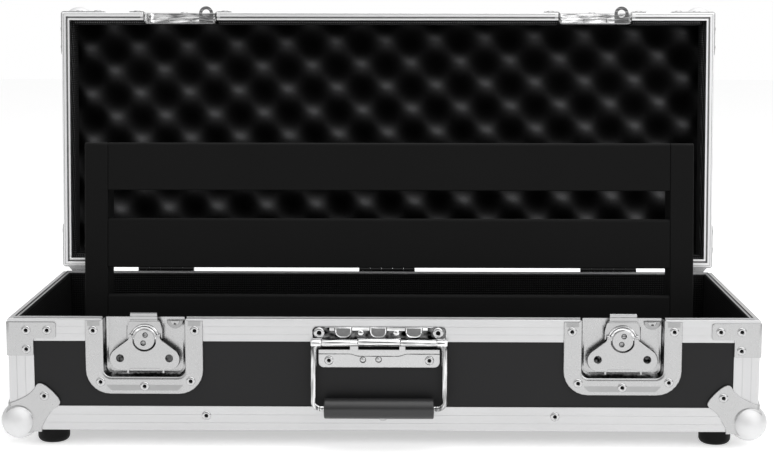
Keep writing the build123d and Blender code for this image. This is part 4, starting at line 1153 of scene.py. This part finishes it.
def egg_crate():
    """The foam's mesh, with how high and how upward each point lies as attributes."""
    mesh = bmesh.new()
    bmesh.ops.create_grid(mesh, x_segments=272, y_segments=104, size=1.0)
    bmesh.ops.scale(mesh, vec=(half_w - 0.3, half_d - 0.3, 1), verts=mesh.verts)
    depth, upward = [mesh.verts.layers.float.new(name) for name in ("peak", "upward")]
    for vert in mesh.verts:
        height = foam_height(vert.co.x, vert.co.y)
        slope = foam_height(vert.co.x, vert.co.y + 2.0) - height
        vert[depth] = (height - VALLEY_T) / (PEAK_T - VALLEY_T)
        vert[upward] = min(max(0.35 + slope / 2.0, 0.0), 1.0)
        vert.co.z = foam_back - height
    for vert in new_verts(bmesh.ops.extrude_edge_only(mesh, edges=open_edges(mesh))):
        vert.co.z = foam_back
    bmesh.ops.holes_fill(mesh, edges=open_edges(mesh), sides=0)
    mesh.transform(LID)
    return mesh


soft = Finish("convoluted foam", Roughness=0.95, Specular_IOR_Level=0.1)
peak, lit = [soft.node("ShaderNodeAttribute", {"attribute_name": name}).out("Fac")
             for name in ("peak", "upward")]
pores = soft.noise(soft.place, 1100.0, 2.0)
# Painted shade and light: dark in the valleys, paler on the peaks and palest where they face up.
shade = (peak ** 1.6 * 0.26 + peak ** 4.5 * (0.35 + lit * 0.9)) * (0.45 + pores * 1.1)
soft.colour(shade, grey(0.0004), (0.085, 0.085, 0.087))
soft.bump(pores, 0.0006, 0.9)
padded("egg_crate_foam", egg_crate(), soft, "lid", "lid_foam")

# %% [markdown]
# ## The strip round the lid
# A strip of sheet foam runs round the lid between the rim and the egg-crate foam.

# %% Line the lid
STRIP = 5.0
low, high = LID_RIM + 8.1, foam_back - PEAK_T - 0.2
strips = [
    ("strip_back", (-half_w, half_d - STRIP, low), (half_w, half_d, high)),
    ("strip_left", (-half_w, -half_d, low), (-half_w + STRIP, half_d - STRIP, high)),
    ("strip_right", (half_w - STRIP, -half_d, low), (half_w, half_d - STRIP, high))]
for count, (start, end) in enumerate(runs):
    start, end = max(start, -half_w + STRIP), min(end, half_w - STRIP)
    strips.append((f"strip_front_{count}", (start, -half_d, low), (end, -half_d + STRIP, high)))
for name, start, end in strips:
    finish = lit_strip if "front" in name else strip
    foam_sheet(name, LID, start, end, 0.9, finish, "lid", "lid_liner")

# %% [markdown]
# ## Studio
# The case stands in an empty white studio. The floor is pale, and for the camera it glows
# a little, so that it fades into the background but keeps the soft shadow of the case.
# The room is darker behind the camera and low at its sides, which gives the metal
# something to reflect.

# %% Floor and world
floor_mesh = bmesh.new()
bmesh.ops.create_grid(floor_mesh, x_segments=1, y_segments=1, size=6.0)
ground = Finish("studio floor", Roughness=0.9, Specular_IOR_Level=0.0)
ground.shader.inputs["Base Color"].default_value = (0.86, 0.86, 0.86, 1)
floor = linked("studio_floor", floor_mesh, [ground])


def seen_rays(graph):
    """1 for rays that the camera or a reflection sees, 0 for rays that only light things."""
    path = graph.node("ShaderNodeLightPath")
    return path.out("Is Camera Ray") + path.out("Is Glossy Ray") + path.out("Is Transmission Ray")


glow = ground.node("ShaderNodeEmission", {}, {"Color": (1, 1, 1, 1), "Strength": 0.525})
plain = Wire(ground, ground.shader.outputs[0])
both = ground.node("ShaderNodeAddShader", {}, {0: plain, 1: glow.out()})
pick = ground.node("ShaderNodeMixShader", {}, {0: seen_rays(ground), 1: plain, 2: both.out()})
ground.tree.links.new(pick.out().socket, ground.tree.nodes["Material Output"].inputs["Surface"])

world = bpy.data.worlds.new("studio")
bpy.context.scene.world = world
world.use_nodes = True
sky = Graph(world.node_tree)
across, ahead, height = sky.apart(sky.node("ShaderNodeTexCoord").out("Generated"))
room = sky.ramp(ahead, -0.30, -0.75) * sky.ramp(height, 0.03, 0.12) * sky.ramp(height, 0.60, 0.40)
sides = sky.ramp(across * across, 0.45, 0.75) * sky.ramp(height, 0.0, 0.10) * sky.ramp(height, 0.50, 0.30)
left_wall = sky.ramp(across, 0.1, -0.7)
level = sky.range(seen_rays(sky), 0.60, 1.0) * (1 - room * 0.85) * (1 - sides * 0.6) * (1 - left_wall * 0.2)
background = sky.tree.nodes["Background"]
background.inputs["Color"].default_value = (1, 1, 1, 1)
camera_ray = sky.node("ShaderNodeLightPath").out("Is Camera Ray")
sky.tree.links.new((camera_ray + (1 - camera_ray) * level).socket, background.inputs["Strength"])

# %% [markdown]
# ## Lamps
# Three soft boxes light the metal evenly: a large one overhead, one in front on the right
# and a weak one on the left. They are large because a small lamp leaves hot spots.

# %% Soft boxes
def soft_lamp(name, place, aim, size, power):
    lamp = bpy.data.lights.new(name, "AREA")
    lamp.shape, lamp.size, lamp.size_y, lamp.energy = "RECTANGLE", *size, power
    holder = bpy.data.objects.new(name, lamp)
    holder.location = place
    holder.rotation_euler = (Vector(aim) - Vector(place)).to_track_quat("-Z", "Y").to_euler()
    bpy.context.scene.collection.objects.link(holder)


soft_lamp("overhead", (0.3, -0.2, 2.2), (0, 0, 0.1), (3.0, 2.2), 26)
soft_lamp("front right", (1.8, -2.2, 1.4), (0, 0, 0.15), (2.4, 2.0), 20)
soft_lamp("front left", (-1.8, -2.0, 0.9), (0, 0, 0.15), (2.0, 1.6), 5)

# %% [markdown]
# ## Camera
# The camera stands about 1.6 m in front of the case and looks down on it by 8 degrees.

# %% Camera
FRAME_PX, FOCAL_PX = 774, 1791.2
YAW, PITCH, ROLL = -0.0127, 0.1383, -0.0006
lens = bpy.data.cameras.new("camera")
lens.sensor_width = 36.0
lens.lens = FOCAL_PX / FRAME_PX * lens.sensor_width
camera = bpy.data.objects.new("camera", lens)
camera.location = BASE @ Vector((24.1, -1766.0, 418.4))
camera.rotation_euler = (math.pi / 2 - PITCH, ROLL, -YAW)
bpy.context.scene.collection.objects.link(camera)
bpy.context.scene.camera = camera
bpy.context.scene.view_settings.view_transform = "Standard"
